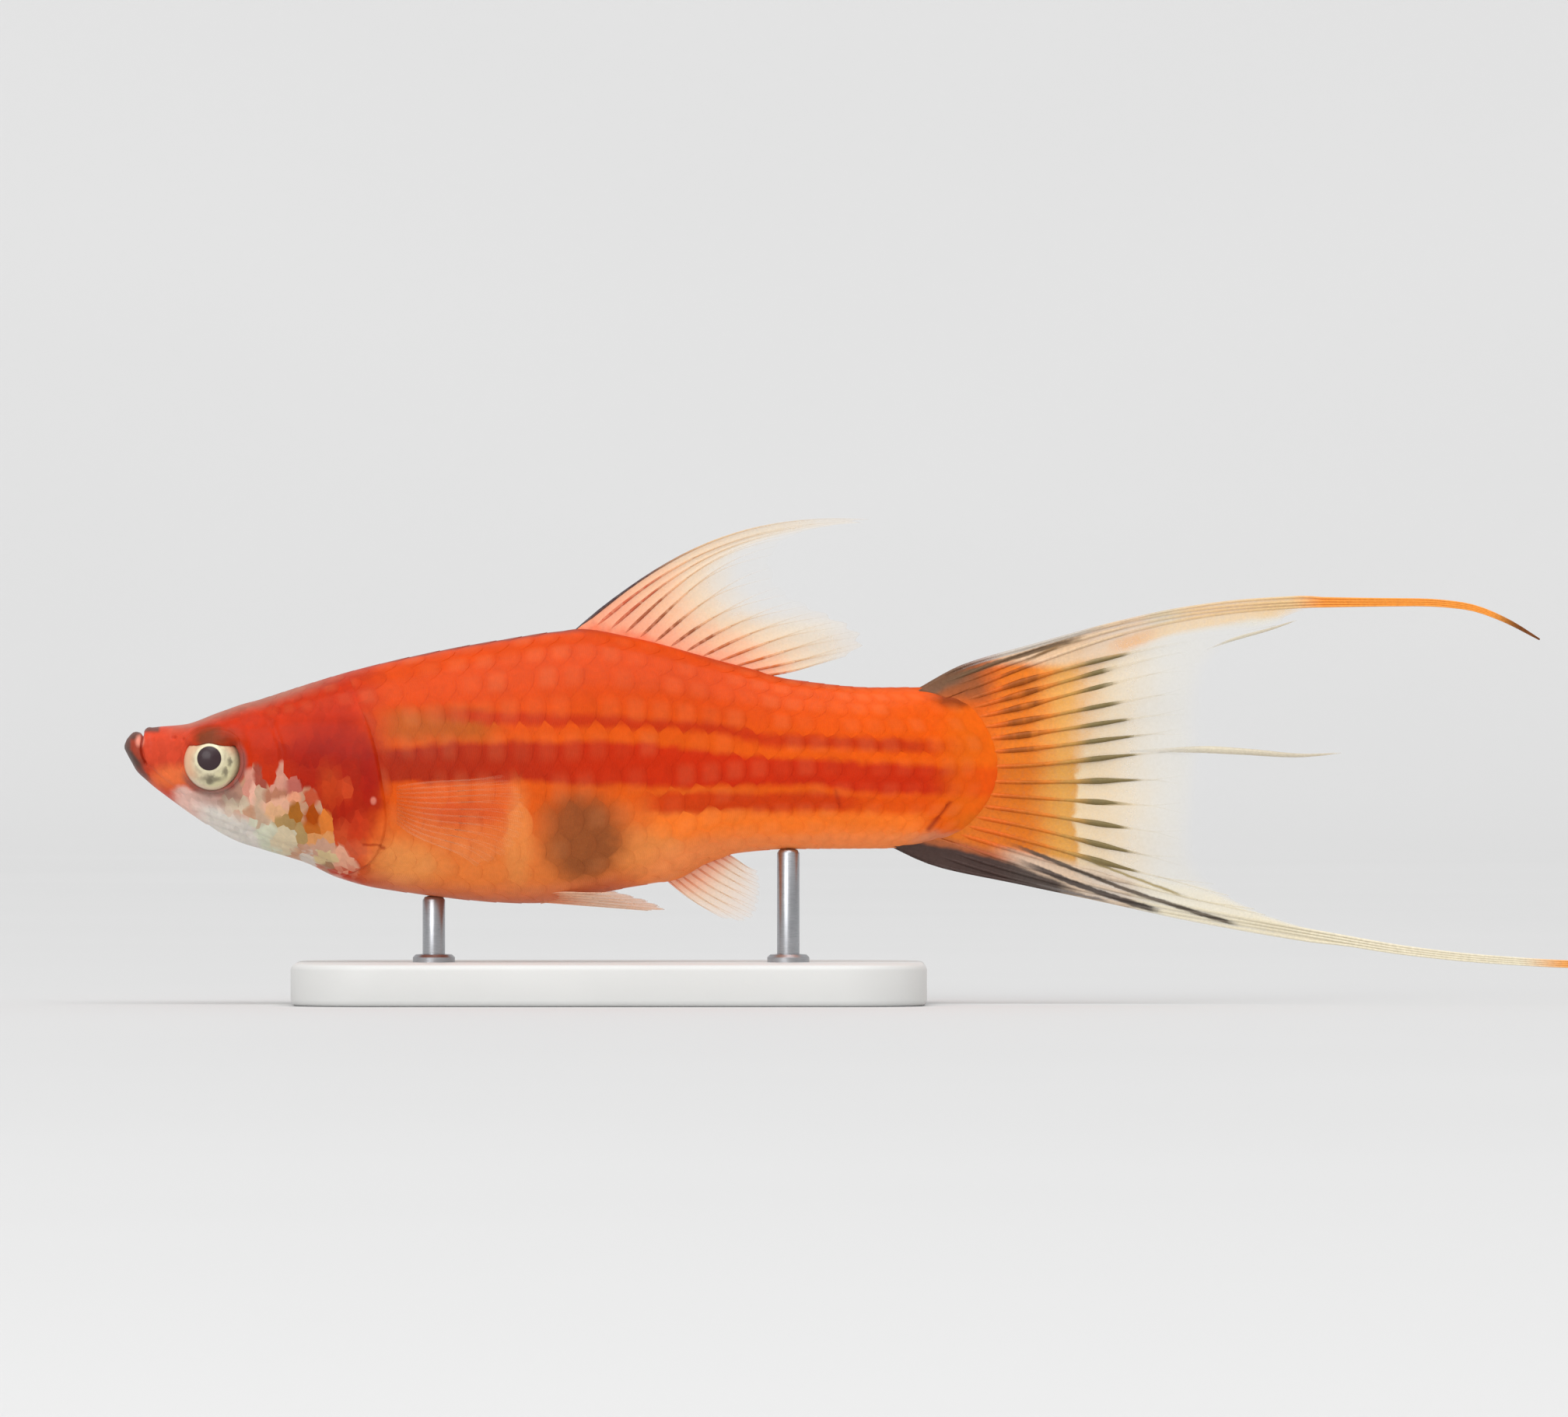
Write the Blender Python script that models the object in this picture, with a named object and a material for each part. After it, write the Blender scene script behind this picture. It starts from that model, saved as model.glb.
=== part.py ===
"""A lyretail swordtail, life size, swimming to the left on a plain display stand.

Lengths below are in millimetres. A point of the fish is (x, y, z): x runs back from the tip of the lower
lip, y is to the fish's right, and z is up from the line through the middle of its eye and tail. place()
turns that into the scene's metres, with the floor at z = 0 and the whole model centred over the origin.
"""

import math

import bmesh
import bpy
from mathutils import Vector

MM = 0.001

# Driving sizes
TOTAL_LENGTH = 115.0  # tip of the lower lip to the tip of the lower sword
AXIS_HEIGHT = 17.5  # the fish's axis above the floor
GAP = 0.3  # between neighbouring solids
SWAY = 3.0  # how far the end of the tail swings to the fish's right
SWAY_START = 34.0

# The body's outline from the side, as (x, z)
BACK_LINE = [
    (0.0, 0.95), (0.25, 1.42), (0.75, 1.72), (1.3, 1.74), (1.85, 2.16), (4.4, 2.43), (6.6, 3.22),
    (9.4, 4.2), (17.7, 6.7), (26.5, 8.46), (32.4, 9.2), (36.1, 8.6), (43.4, 6.66), (48.0, 5.62),
    (53.4, 5.12), (63.0, 5.3),
]
BELLY_LINE = [
    (0.0, 0.7), (0.4, 0.0), (1.4, -1.38), (2.75, -2.52), (7.2, -5.5), (9.3, -6.4), (12.8, -7.5),
    (15.2, -8.6), (18.1, -9.35), (28.7, -10.4), (36.0, -9.25), (39.3, -8.6), (41.5, -7.45), (43.6, -6.85),
    (47.0, -6.55), (63.0, -6.45),
]
# Half the body's width, the height at which it is widest, and how square its section is, along x
HALF_WIDTH = [
    (0.0, 0.25), (0.3, 1.05), (1.0, 1.7), (2.2, 2.2), (4.4, 2.95), (6.5, 3.5), (9.4, 4.1), (13.0, 4.65),
    (18.0, 5.1), (24.0, 5.45), (30.0, 5.35), (36.0, 4.6), (42.0, 3.4), (48.0, 2.65), (54.0, 2.05),
    (59.0, 1.25), (63.0, 0.75),
]
WIDEST = [(0.0, 0.85), (1.5, 0.6), (4.0, 0.6), (6.5, 0.2), (12.0, -0.8), (20.0, -1.8), (30.0, -2.2), (40.0, -1.2),
          (48.0, -0.6), (63.0, -0.6)]
CROWN = [(0.0, 2.0), (2.0, 2.5), (6.0, 2.9), (12.0, 2.6), (20.0, 2.2), (40.0, 2.0), (63.0, 2.2)]
KEEL = [(0.0, 2.0), (6.0, 2.0), (15.0, 2.1), (28.0, 2.3), (40.0, 2.1), (63.0, 2.2)]

# The rear edges of the gill cover and of the flesh, as (share of the way from back to belly, x)
GILL_EDGE = [(0.0, 15.4), (0.25, 16.4), (0.45, 18.0), (0.6, 18.6), (0.72, 18.0), (0.85, 16.2), (0.93, 15.3),
             (1.0, 15.1)]
GILL_ROW = 17.0
GILL_REACH = 9.0  # the rows of vertices lean to the gill edge over this length on each side
GILL_LIFT = 0.4  # the cover stands this far off the shoulder at its rear edge
GILL_RISE = 5.5  # and rises to that over this length
FLESH_EDGE = [(0.0, 57.0), (0.25, 60.6), (0.5, 62.3), (0.75, 60.2), (1.0, 55.3)]
FLESH_ROW = 60.0
FLESH_REACH = 14.0
VENT = 37.2  # where the torso ends and the tail's stalk begins

# The line of the mouth and on down the edge of the lower jaw, as (x, z). The lips roll along its first part.
MOUTH_LINE = [(1.30, 2.9), (1.33, 1.7), (1.22, 0.7), (1.55, -0.35), (2.6, -1.35), (4.2, -2.6), (5.0, -3.5),
              (5.1, -5.4)]
MOUTH_CORNER = 3  # the point of that line where the gape ends
MOUTH_REACH = 6.0  # the cut between the jaws goes this far to each side
LIP_LIFT = 0.2
LIP_WIDTH = 0.36
NOSTRIL = (3.75, 1.55)
NOSTRIL_RADIUS = 0.34

EYE = (6.36, 3.05, -0.25)
EYE_RADIUS = 2.05
EYE_DEPTH = 1.25
EYE_RINGS = 12
RIM_LIFT = 0.16  # the skin swells round the eye, and more so above it
RIM_WIDTH = 0.5
BROW_LIFT = 0.3

RING = 40  # vertices round the body
NOSE = (0.0, 0.0, 0.82)
LIP_ROWS = 2.4  # the body's rows lie close as far as this, then less so as far as the end of the face
FACE_ROWS = 9.0
LIP_STEP, FACE_STEP, COVER_STEP, TORSO_STEP, STALK_STEP = 0.25, 0.5, 1.0, 1.8, 1.6

# A fin's rays are numbered from its leading or upper edge. Each list gives a value along those numbers, or,
# for a line, along the share of its length.
DORSAL_RAYS = 13
DORSAL_ROOT = (32.2, 45.2)
DORSAL_TIPS = [(0, 53.0, 17.0), (1, 52.4, 16.75), (2, 50.3, 16.55), (3, 47.9, 16.0), (4, 46.3, 14.9),
               (5, 46.1, 13.2), (6, 46.9, 11.9), (8, 49.9, 10.3), (10, 52.3, 8.9), (11, 52.5, 8.0), (12, 51.2, 7.2)]
DORSAL_ROOT_ANGLE = [(0, 41), (3, 44), (6, 38), (8, 28), (10, 15), (12, 5)]
DORSAL_TIP_ANGLE = [(0, -3), (3, 8), (6, 14), (9, 8), (12, 14)]

TAIL_RAYS = 21
SWORD_RAYS = 4  # the outermost rays of each lobe run on into its sword
TAIL_TIPS = [(4, 82.2, 9.5), (5, 79.2, 8.3), (6, 77.5, 6.8), (7, 77.0, 5.0), (9, 76.8, 2.0), (10, 87.0, 0.4),
             (11, 76.7, -1.6), (13, 76.3, -5.6), (14, 76.6, -7.6), (15, 78.0, -9.4), (16, 81.4, -11.2)]
TAIL_ROOT_ANGLE = [(0, 24), (3, 22), (6, 12), (10, 0), (14, -9), (17, -19), (20, -20)]
TAIL_TIP_ANGLE = [(3, 2), (4, 10), (7, 8), (10, 0), (13, -6), (16, -12), (17, -10)]
LOBE_CUTS = (6.5, 13.5)  # the tail fin is parted here, between two rays
UPPER_EDGE = [(0.0, 57.3, 5.55), (0.09, 59.6, 6.55), (0.26, 64.7, 8.05), (0.44, 69.6, 9.4), (0.63, 74.9, 10.6),
              (0.81, 79.8, 11.25), (1.0, 84.3, 11.52)]
LOWER_EDGE = [(0.0, 55.4, -6.85), (0.07, 57.4, -7.5), (0.27, 63.4, -8.8), (0.47, 69.6, -10.12), (0.65, 75.1, -11.35),
              (0.82, 80.1, -12.3), (1.0, 85.2, -13.15)]

# The swords' middle lines, and half their depth
UPPER_SWORD = [(0.0, 84.6, 11.1), (0.2, 88.0, 11.1), (0.45, 92.0, 11.1), (0.65, 95.3, 10.85), (0.82, 98.1, 9.9),
               (1.0, 100.7, 8.45)]
LOWER_SWORD = [(0.0, 85.5, -12.75), (0.2, 91.6, -13.75), (0.42, 97.5, -14.35), (0.65, 104.5, -14.7),
               (0.85, 110.5, -14.6), (1.0, TOTAL_LENGTH, -14.1)]
SWORD_HALF_DEPTH = [(0.0, 0.44), (0.5, 0.36), (0.85, 0.28), (1.0, 0.1)]
SWORD_STEPS = 16

ANAL_RAYS = 9
ANAL_ROOT = (38.4, 42.6)
ANAL_TIPS = [(0, 42.6, -11.4), (1, 44.0, -11.6), (2, 44.7, -11.3), (4, 45.1, -10.2), (6, 45.2, -9.1), (8, 45.0, -8.0)]
ANAL_ROOT_ANGLE = [(0, -42), (4, -36), (8, -22)]
ANAL_TIP_ANGLE = [(0, -28), (4, -26), (8, -16)]

PELVIC_RAYS = 6
PELVIC_ROOT = (29.6, 0.75, 1.45)  # x, and the y of its inner edge, and its width
PELVIC_TIPS = [(0, 7.6, -0.3), (1, 8.8, 0.1), (3, 7.4, 1.6), (5, 5.2, 2.6)]
PELVIC_FAN = [(0, -2), (5, 22)]
PELVIC_TILT = 24.0
PELVIC_SINK = 4.0

PECTORAL_RAYS = 12
PECTORAL_ROOT = (19.5, -2.0, 2.6)  # x, and the z of its upper edge, and its width
PECTORAL_TIPS = [(0, 8.2, 1.7), (3, 9.8, 0.4), (6, 9.9, -1.7), (9, 8.4, -3.9), (11, 6.2, -5.0)]
PECTORAL_FAN = [(0, 16), (11, -34)]
PECTORAL_FLARE = 24.0
PECTORAL_DROOP = 6.0

# Fin thickness: the web between two rays, the ridge that each ray makes in it, and the fin's root
WEB = 0.5
RAY_RIDGE = 0.86
TIP_THICKNESS = 0.26
MIDLINE_ROOT = 1.0
TAIL_ROOT = 1.3
PAIRED_ROOT = 0.7
ROOT_SHARE = 0.25  # the root's thickness and the tip's thinning each take this share of a ray
NOTCH = 0.97  # the web ends this far along its rays
HANDLE = 0.4  # how far a ray keeps its first and last direction
LONG_STEPS = 9  # stretches along a ray of a large fin and of a small one
SHORT_STEPS = 6

BASE_LENGTH = 45.0
BASE_WIDTH = 28.0
BASE_THICKNESS = 3.0
BASE_MIDDLE = 34.5
BASE_CORNER = 6.0
BASE_EDGE = 0.5
ROD_RADIUS = 0.8
ROD_SINK = 1.2  # into the base's hole
ROD_PLACES = {"stand_rod_front": 22.0, "stand_rod_rear": 47.2}

SKIN = (0.84, 0.16, 0.05)
HEAD_SKIN = (0.72, 0.10, 0.05)
LIP = (0.17, 0.12, 0.11)
IRIS = (0.80, 0.76, 0.62)
FIN = (0.92, 0.66, 0.44)
TAIL_FIN = (0.90, 0.55, 0.20)
SWORD = (0.95, 0.42, 0.06)
CLEAR_FIN = (0.86, 0.80, 0.72)
BASE = (0.86, 0.86, 0.85)
STEEL = (0.62, 0.63, 0.65)


def value_at(points, at):
    """The value at one place on a smooth curve through (place, value) points."""
    if at <= points[0][0]:
        return points[0][1]
    if at >= points[-1][0]:
        return points[-1][1]
    k = max(i for i in range(len(points) - 1) if points[i][0] <= at)
    slopes = [(b[1] - a[1]) / (b[0] - a[0]) for a, b in zip(points, points[1:])]

    def tangent(i):
        if i in (0, len(points) - 1):
            return slopes[min(i, len(slopes) - 1)]
        before, after = slopes[i - 1], slopes[i]
        if before * after <= 0:
            return 0.0
        return 2 * before * after / (before + after)

    (x0, v0), (x1, v1) = points[k], points[k + 1]
    span = x1 - x0
    t = (at - x0) / span
    return (
        (2 * t**3 - 3 * t**2 + 1) * v0
        + (t**3 - 2 * t**2 + t) * span * tangent(k)
        + (3 * t**2 - 2 * t**3) * v1
        + (t**3 - t**2) * span * tangent(k + 1)
    )


def pair_at(rows, at):
    """(first, second) at one place, from rows of (place, first, second)."""
    return (
        value_at([(r[0], r[1]) for r in rows], at),
        value_at([(r[0], r[2]) for r in rows], at),
    )


def sway(x):
    """How far the body swings to the fish's right at x."""
    return SWAY * (max(0.0, x - SWAY_START) / (TOTAL_LENGTH - SWAY_START)) ** 2


def place(x, y, z):
    return Vector((x - TOTAL_LENGTH / 2, y + sway(x), z + AXIS_HEIGHT)) * MM


def smooth_step(t):
    t = min(1.0, max(0.0, t))
    return t * t * (3 - 2 * t)


def spaced(start, stop, step):
    """Rows from start up to stop, about a step apart, without the last."""
    many = round((stop - start) / step)
    return [start + (stop - start) * i / many for i in range(many)]


def bell(distance, width):
    return math.exp(-((distance / width) ** 2))


def way_off(x, z, line):
    """How far a point of the side view is from a line of straight stretches."""
    point = Vector((x, z))
    nearest = math.inf
    for start, end in zip(line, line[1:]):
        a, b = Vector(start), Vector(end)
        share = (point - a).dot(b - a) / (b - a).length_squared
        nearest = min(nearest, (point - a.lerp(b, min(1.0, max(0.0, share)))).length)
    return nearest


def leaned(x, share):
    """A row's x where it leans to follow the gill edge or the edge of the flesh."""
    gill = smooth_step(1 - abs(x - GILL_ROW) / GILL_REACH)
    flesh = smooth_step(1 - (FLESH_ROW - x) / FLESH_REACH)
    return (
        x
        + gill * (value_at(GILL_EDGE, share) - GILL_ROW)
        + flesh * (value_at(FLESH_EDGE, share) - FLESH_ROW)
    )


def cover_lift(row, share):
    """How far the gill cover stands proud, in front of its rear edge."""
    rise = smooth_step((row - GILL_ROW + GILL_RISE) / GILL_RISE) if row <= GILL_ROW else 0.0
    return GILL_LIFT * rise * smooth_step((share - 0.12) / 0.25) * smooth_step((0.97 - share) / 0.2)


def face_lift(x, z):
    """How far the lips and the rim round the eye stand proud."""
    lips = LIP_LIFT * bell(way_off(x, z, MOUTH_LINE[:MOUTH_CORNER + 1]), LIP_WIDTH)
    away = Vector((x - EYE[0], z - EYE[2]))
    above = smooth_step(away.y / EYE_RADIUS)
    rim = (RIM_LIFT + (BROW_LIFT - RIM_LIFT) * above) * bell(away.length - EYE_RADIUS - GAP, RIM_WIDTH)
    return lips + rim


def section_point(x, share, side, wider=0.0):
    """A point on the skin. share runs from 0 on the back to 1 under the belly, side is -1 left or 1 right."""
    middle = value_at(WIDEST, x)
    angle = math.pi * share
    if share <= 0.5:
        power, height = value_at(CROWN, x), value_at(BACK_LINE, x) - middle
    else:
        power, height = value_at(KEEL, x), value_at(BELLY_LINE, x) - middle
    y = (value_at(HALF_WIDTH, x) + wider) * math.sin(angle) ** (2 / power)
    z = middle + height * abs(math.cos(angle)) ** (2 / power)
    lift = face_lift(x, z) * math.sin(angle) ** 2
    return x, side * (y + lift * math.sin(angle)), z + lift * math.cos(angle)


def flank(x, z):
    """Half the body's width at x and at one height."""
    middle = value_at(WIDEST, x)
    line, powers = (BACK_LINE, CROWN) if z > middle else (BELLY_LINE, KEEL)
    power = value_at(powers, x)
    share = min(1.0, abs((z - middle) / (value_at(line, x) - middle)))
    return value_at(HALF_WIDTH, x) * (1 - share**power) ** (1 / power)


def body_ring(row):
    """One closed ring of points, from the back down the left side and up the right."""
    half = RING // 2
    ring = []
    for j in range(RING):
        share, side = (j / half, -1) if j <= half else ((RING - j) / half, 1)
        x = leaned(row, share)
        ring.append(place(*section_point(x, share, side, cover_lift(row, share))))
    return ring


def new_object(name, bm, colour, roughness=0.45, metallic=0.0):
    """Makes a mesh object of the bmesh with a plain material of its own."""
    bmesh.ops.recalc_face_normals(bm, faces=bm.faces)
    if bm.calc_volume(signed=True) < 0:
        bmesh.ops.reverse_faces(bm, faces=bm.faces)
    mesh = bpy.data.meshes.new(name)
    bm.to_mesh(mesh)
    bm.free()
    obj = bpy.data.objects.new(name, mesh)
    bpy.context.scene.collection.objects.link(obj)
    give_material(obj, colour, roughness, metallic)
    mesh.shade_smooth()
    mesh.set_sharp_from_angle(angle=math.radians(40))
    return obj


def give_material(obj, colour, roughness=0.45, metallic=0.0):
    material = bpy.data.materials.new(obj.name)
    material.use_nodes = True
    shader = material.node_tree.nodes["Principled BSDF"]
    shader.inputs["Base Color"].default_value = (*colour, 1.0)
    shader.inputs["Roughness"].default_value = roughness
    shader.inputs["Metallic"].default_value = metallic
    obj.data.materials.clear()
    obj.data.materials.append(material)


def close_with_rungs(bm, ring):
    """Closes a ring by faces that run straight across from its left half to its right."""
    half = len(ring) // 2
    bm.faces.new((ring[0], ring[1], ring[-1]))
    for j in range(1, half - 1):
        bm.faces.new((ring[j], ring[j + 1], ring[-j - 1], ring[-j]))
    bm.faces.new((ring[half - 1], ring[half], ring[half + 1]))


def loft(rows, nose=None):
    """A bmesh through one ring for each row, closed at the end and at the start, or drawn to a nose point."""
    bm = bmesh.new()
    rings = [[bm.verts.new(p) for p in body_ring(row)] for row in rows]
    for one, two in zip(rings, rings[1:]):
        for j in range(RING):
            k = (j + 1) % RING
            bm.faces.new((one[j], one[k], two[k], two[j]))
    if nose is None:
        close_with_rungs(bm, rings[0])
    else:
        tip = bm.verts.new(nose)
        for j in range(RING):
            bm.faces.new((rings[0][j], rings[0][(j + 1) % RING], tip))
    close_with_rungs(bm, rings[-1])
    return bm


def eyeball(radius, depth, side):
    """A bmesh of an eyeball, flattened across the head."""
    bm = bmesh.new()
    bmesh.ops.create_uvsphere(bm, u_segments=2 * EYE_RINGS, v_segments=EYE_RINGS, radius=1.0)
    x, y, z = EYE
    for v in bm.verts:
        # The sphere's poles lie across the head, in the middle of the pupil
        px, py, pz = v.co
        v.co = place(x + radius * px, side * (y + depth * pz), z + radius * py)
    return bm


def mouth_slab():
    """The thin slot between the jaws, across the head."""
    bm = bmesh.new()
    line = [Vector(p) for p in MOUTH_LINE]
    front, back = [], []
    for i, p in enumerate(line):
        along = line[min(i + 1, len(line) - 1)] - line[max(i - 1, 0)]
        across = Vector((along.y, -along.x)).normalized() * GAP / 2
        front.append(p + across)
        back.append(p - across)
    outline = front + back[::-1]
    face = bm.faces.new([bm.verts.new(place(p.x, -MOUTH_REACH, p.y)) for p in outline])
    grown = bmesh.ops.extrude_face_region(bm, geom=[face])["geom"]
    moved = [v for v in grown if isinstance(v, bmesh.types.BMVert)]
    bmesh.ops.translate(bm, vec=Vector((0.0, 2 * MOUTH_REACH * MM, 0.0)), verts=moved)
    return bm


def nostril_pits():
    bm = bmesh.new()
    x, z = NOSTRIL
    for side in (-1, 1):
        made = bmesh.ops.create_icosphere(bm, subdivisions=2, radius=NOSTRIL_RADIUS * MM)
        bmesh.ops.translate(bm, vec=place(x, side * (flank(x, z) + 0.05), z), verts=made["verts"])
    return bm


def cut_away(obj, cutters):
    """Takes the cutters out of the object and removes them."""
    for cutter in cutters:
        modifier = obj.modifiers.new(cutter.name, "BOOLEAN")
        modifier.operation = "DIFFERENCE"
        modifier.object = cutter
        modifier.solver = "EXACT"
    bpy.context.view_layer.update()
    graph = bpy.context.evaluated_depsgraph_get()
    cut = bpy.data.meshes.new_from_object(obj.evaluated_get(graph))
    obj.modifiers.clear()
    obj.data = cut
    for cutter in cutters:
        bpy.data.objects.remove(cutter)


def loose_parts(obj):
    """The mesh's separate bodies, each as a set of vertex numbers."""
    links = {v.index: set() for v in obj.data.vertices}
    for edge in obj.data.edges:
        a, b = edge.vertices
        links[a].add(b)
        links[b].add(a)
    left, found = set(links), []
    while left:
        body, edge_of_it = set(), {left.pop()}
        while edge_of_it:
            body |= edge_of_it
            edge_of_it = set().union(*(links[i] for i in edge_of_it)) - body
        left -= body
        found.append(body)
    return sorted(found, key=len, reverse=True)


def part_off(obj, body, name, colour, roughness):
    """Moves one separate body of the mesh into an object of its own."""
    kept, moved = bmesh.new(), bmesh.new()
    for bm, wanted in ((kept, False), (moved, True)):
        bm.from_mesh(obj.data)
        bm.verts.ensure_lookup_table()
        gone = [v for v in bm.verts if (v.index in body) != wanted]
        bmesh.ops.delete(bm, geom=gone, context="VERTS")
    kept.to_mesh(obj.data)
    kept.free()
    return new_object(name, moved, colour, roughness)


def head_and_jaw():
    lips = spaced(LIP_STEP / 2, LIP_ROWS, LIP_STEP)
    rows = lips + spaced(LIP_ROWS, FACE_ROWS, FACE_STEP) + spaced(FACE_ROWS, GILL_ROW, COVER_STEP) + [GILL_ROW]
    head = new_object("head", loft(rows, place(*NOSE)), HEAD_SKIN)
    cutters = [new_object("cut_mouth", mouth_slab(), LIP), new_object("cut_nostrils", nostril_pits(), LIP)]
    for side in (-1, 1):
        socket = eyeball(EYE_RADIUS + GAP, EYE_DEPTH + GAP, side)
        cutters.append(new_object(f"cut_socket_{side}", socket, LIP))
    cut_away(head, cutters)
    bodies = loose_parts(head)
    part_off(head, bodies[1], "lower_jaw", LIP, 0.5)
    give_material(head, HEAD_SKIN)


def eyes():
    for side, name in ((-1, "eye_left"), (1, "eye_right")):
        new_object(name, eyeball(EYE_RADIUS, EYE_DEPTH, side), IRIS, 0.12)


def ray_point(root, tip, root_angle, tip_angle, t):
    """A point along one ray, which leaves its root and reaches its tip at the two angles."""
    a, d = Vector(root), Vector(tip)
    reach = (d - a).length * HANDLE
    b = a + reach * Vector((math.cos(math.radians(root_angle)), math.sin(math.radians(root_angle))))
    c = d - reach * Vector((math.cos(math.radians(tip_angle)), math.sin(math.radians(tip_angle))))
    s = 1 - t
    return s**3 * a + 3 * s * s * t * b + 3 * s * t * t * c + t**3 * d


def fin_rays(count, root_of, tips, root_angles, tip_angles):
    """One (path, length) for each ray, where the path gives a point for each share of the ray's length."""
    rays = []
    for k in range(count):
        ends = root_of(k), pair_at(tips, k)
        angles = value_at(root_angles, k), value_at(tip_angles, k)
        rays.append(bent_ray(*ends, *angles))
    return rays


def bent_ray(root, tip, root_angle, tip_angle):
    length = (Vector(tip) - Vector(root)).length
    return lambda t: ray_point(root, tip, root_angle, tip_angle, t), length


def web_point(rays, s, t):
    """A point between two rays, no further out than the shorter of them."""
    k = min(int(s), len(rays) - 2)
    (path, length), (next_path, next_length) = rays[k], rays[k + 1]
    short = min(length, next_length)
    return path(t * short / length).lerp(next_path(t * short / next_length), s - k)


def cut_point(rays, s, t, turn):
    """A point of the web half a gap to one side of a cut that runs between two rays."""
    along = (web_point(rays, s, t + 0.01) - web_point(rays, s, t - 0.01)).normalized()
    return web_point(rays, s, t) + Vector((along.y, -along.x)) * turn * GAP / 2


def fin_columns(rays, first, last, steps, root_thickness, running_on=()):
    """Columns of (point, half thickness) from root to tip: a ridge at each ray and a hollow between two.

    first and last are ray numbers, and one that ends in .5 is the edge of a cut through the web there. The
    rays in running_on neither end nor thin out at their tips.
    """
    columns = []
    for s in [half / 2 for half in range(round(first * 2), round(last * 2) + 1)]:
        on_ray = s == int(s)
        full = RAY_RIDGE if on_ray else WEB
        whole = {math.floor(s), math.ceil(s)} <= set(running_on)
        column = []
        for i in range(steps + 1):
            t = i / steps
            reach = t * NOTCH
            if on_ray:
                point = rays[int(s)][0](t)
            elif whole:
                point = rays[int(s)][0](t).lerp(rays[int(s) + 1][0](t), 0.5)
            elif s in (first, last):
                point = cut_point(rays, s, reach, 1 if s == first else -1)
            else:
                point = web_point(rays, s, reach)
            thick = root_thickness + (full - root_thickness) * smooth_step(t / ROOT_SHARE)
            if not whole:
                thick += (TIP_THICKNESS - thick) * smooth_step((t - 1 + ROOT_SHARE) / ROOT_SHARE)
            column.append((point, thick / 2))
        columns.append(column)
    return columns


def fin(name, columns, lay, colour):
    """A closed fin through the columns. lay(a, b, n) puts a point of the fin, n off its middle, in place."""
    bm = bmesh.new()
    sheets = [
        [[bm.verts.new(lay(p.x, p.y, side * half)) for p, half in column] for column in columns]
        for side in (-1, 1)
    ]
    many, steps = len(columns), len(columns[0])
    for sheet in sheets:
        for c in range(many - 1):
            for i in range(steps - 1):
                a, b = sheet[c][i], sheet[c][i + 1]
                d, e = sheet[c + 1][i], sheet[c + 1][i + 1]
                # Both faces of the fin are split along the same diagonal, so they never cross
                bm.faces.new((a, b, e))
                bm.faces.new((a, e, d))
    rim = [(0, i) for i in range(steps)] + [(c, steps - 1) for c in range(1, many)]
    rim += [(many - 1, i) for i in range(steps - 2, -1, -1)] + [(c, 0) for c in range(many - 2, 0, -1)]
    for (c, i), (d, j) in zip(rim, rim[1:] + rim[:1]):
        left, right = sheets
        bm.faces.new((left[c][i], left[d][j], right[d][j]))
        bm.faces.new((left[c][i], right[d][j], right[c][i]))
    return new_object(name, bm, colour, 0.35)


def upright(a, b, n):
    """Lays a fin of the midline: a runs back, b up and n across."""
    return place(a, n, b)


def dorsal_fin():
    first, last = DORSAL_ROOT

    def root(k):
        x = first + (last - first) * k / (DORSAL_RAYS - 1)
        return x, value_at(BACK_LINE, x) + GAP

    rays = fin_rays(DORSAL_RAYS, root, DORSAL_TIPS, DORSAL_ROOT_ANGLE, DORSAL_TIP_ANGLE)
    columns = fin_columns(rays, 0, DORSAL_RAYS - 1, LONG_STEPS, MIDLINE_ROOT)
    fin("dorsal_fin", columns, upright, FIN)


def anal_fin():
    first, last = ANAL_ROOT

    def root(k):
        x = first + (last - first) * k / (ANAL_RAYS - 1)
        return x, value_at(BELLY_LINE, x) - GAP

    rays = fin_rays(ANAL_RAYS, root, ANAL_TIPS, ANAL_ROOT_ANGLE, ANAL_TIP_ANGLE)
    columns = fin_columns(rays, 0, ANAL_RAYS - 1, SHORT_STEPS, MIDLINE_ROOT)
    fin("anal_fin", columns, upright, CLEAR_FIN)


def tail_root(k):
    """A ray's root, a gap behind the edge of the flesh."""
    share = k / (TAIL_RAYS - 1)
    x, _, z = section_point(value_at(FLESH_EDGE, share), share, 1)
    angle = math.radians(value_at(TAIL_ROOT_ANGLE, k))
    return x + GAP * math.cos(angle), z + GAP * math.sin(angle)


def sword_place(line, t, offset, back=0.0):
    """A point of a sword: offset runs from 1 at its upper edge to -1, and back is a way towards its root."""
    along = Vector(pair_at(line, min(1.0, t + 0.02))) - Vector(pair_at(line, max(0.0, t - 0.02)))
    along.normalize()
    across = Vector((-along.y, along.x)) * value_at(SWORD_HALF_DEPTH, t)
    return Vector(pair_at(line, t)) + across * offset - along * back


def sword_offsets():
    """The places of a sword's rays across it, with the hollows between them."""
    many = 2 * (SWORD_RAYS - 1)
    return [1 - 2 * c / many for c in range(many + 1)]


def edge_ray(line):
    """A ray that follows the leading edge of the tail fin."""
    ends = Vector(pair_at(line, 0.0)), Vector(pair_at(line, 1.0))
    return lambda t: Vector(pair_at(line, t)), (ends[1] - ends[0]).length


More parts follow.
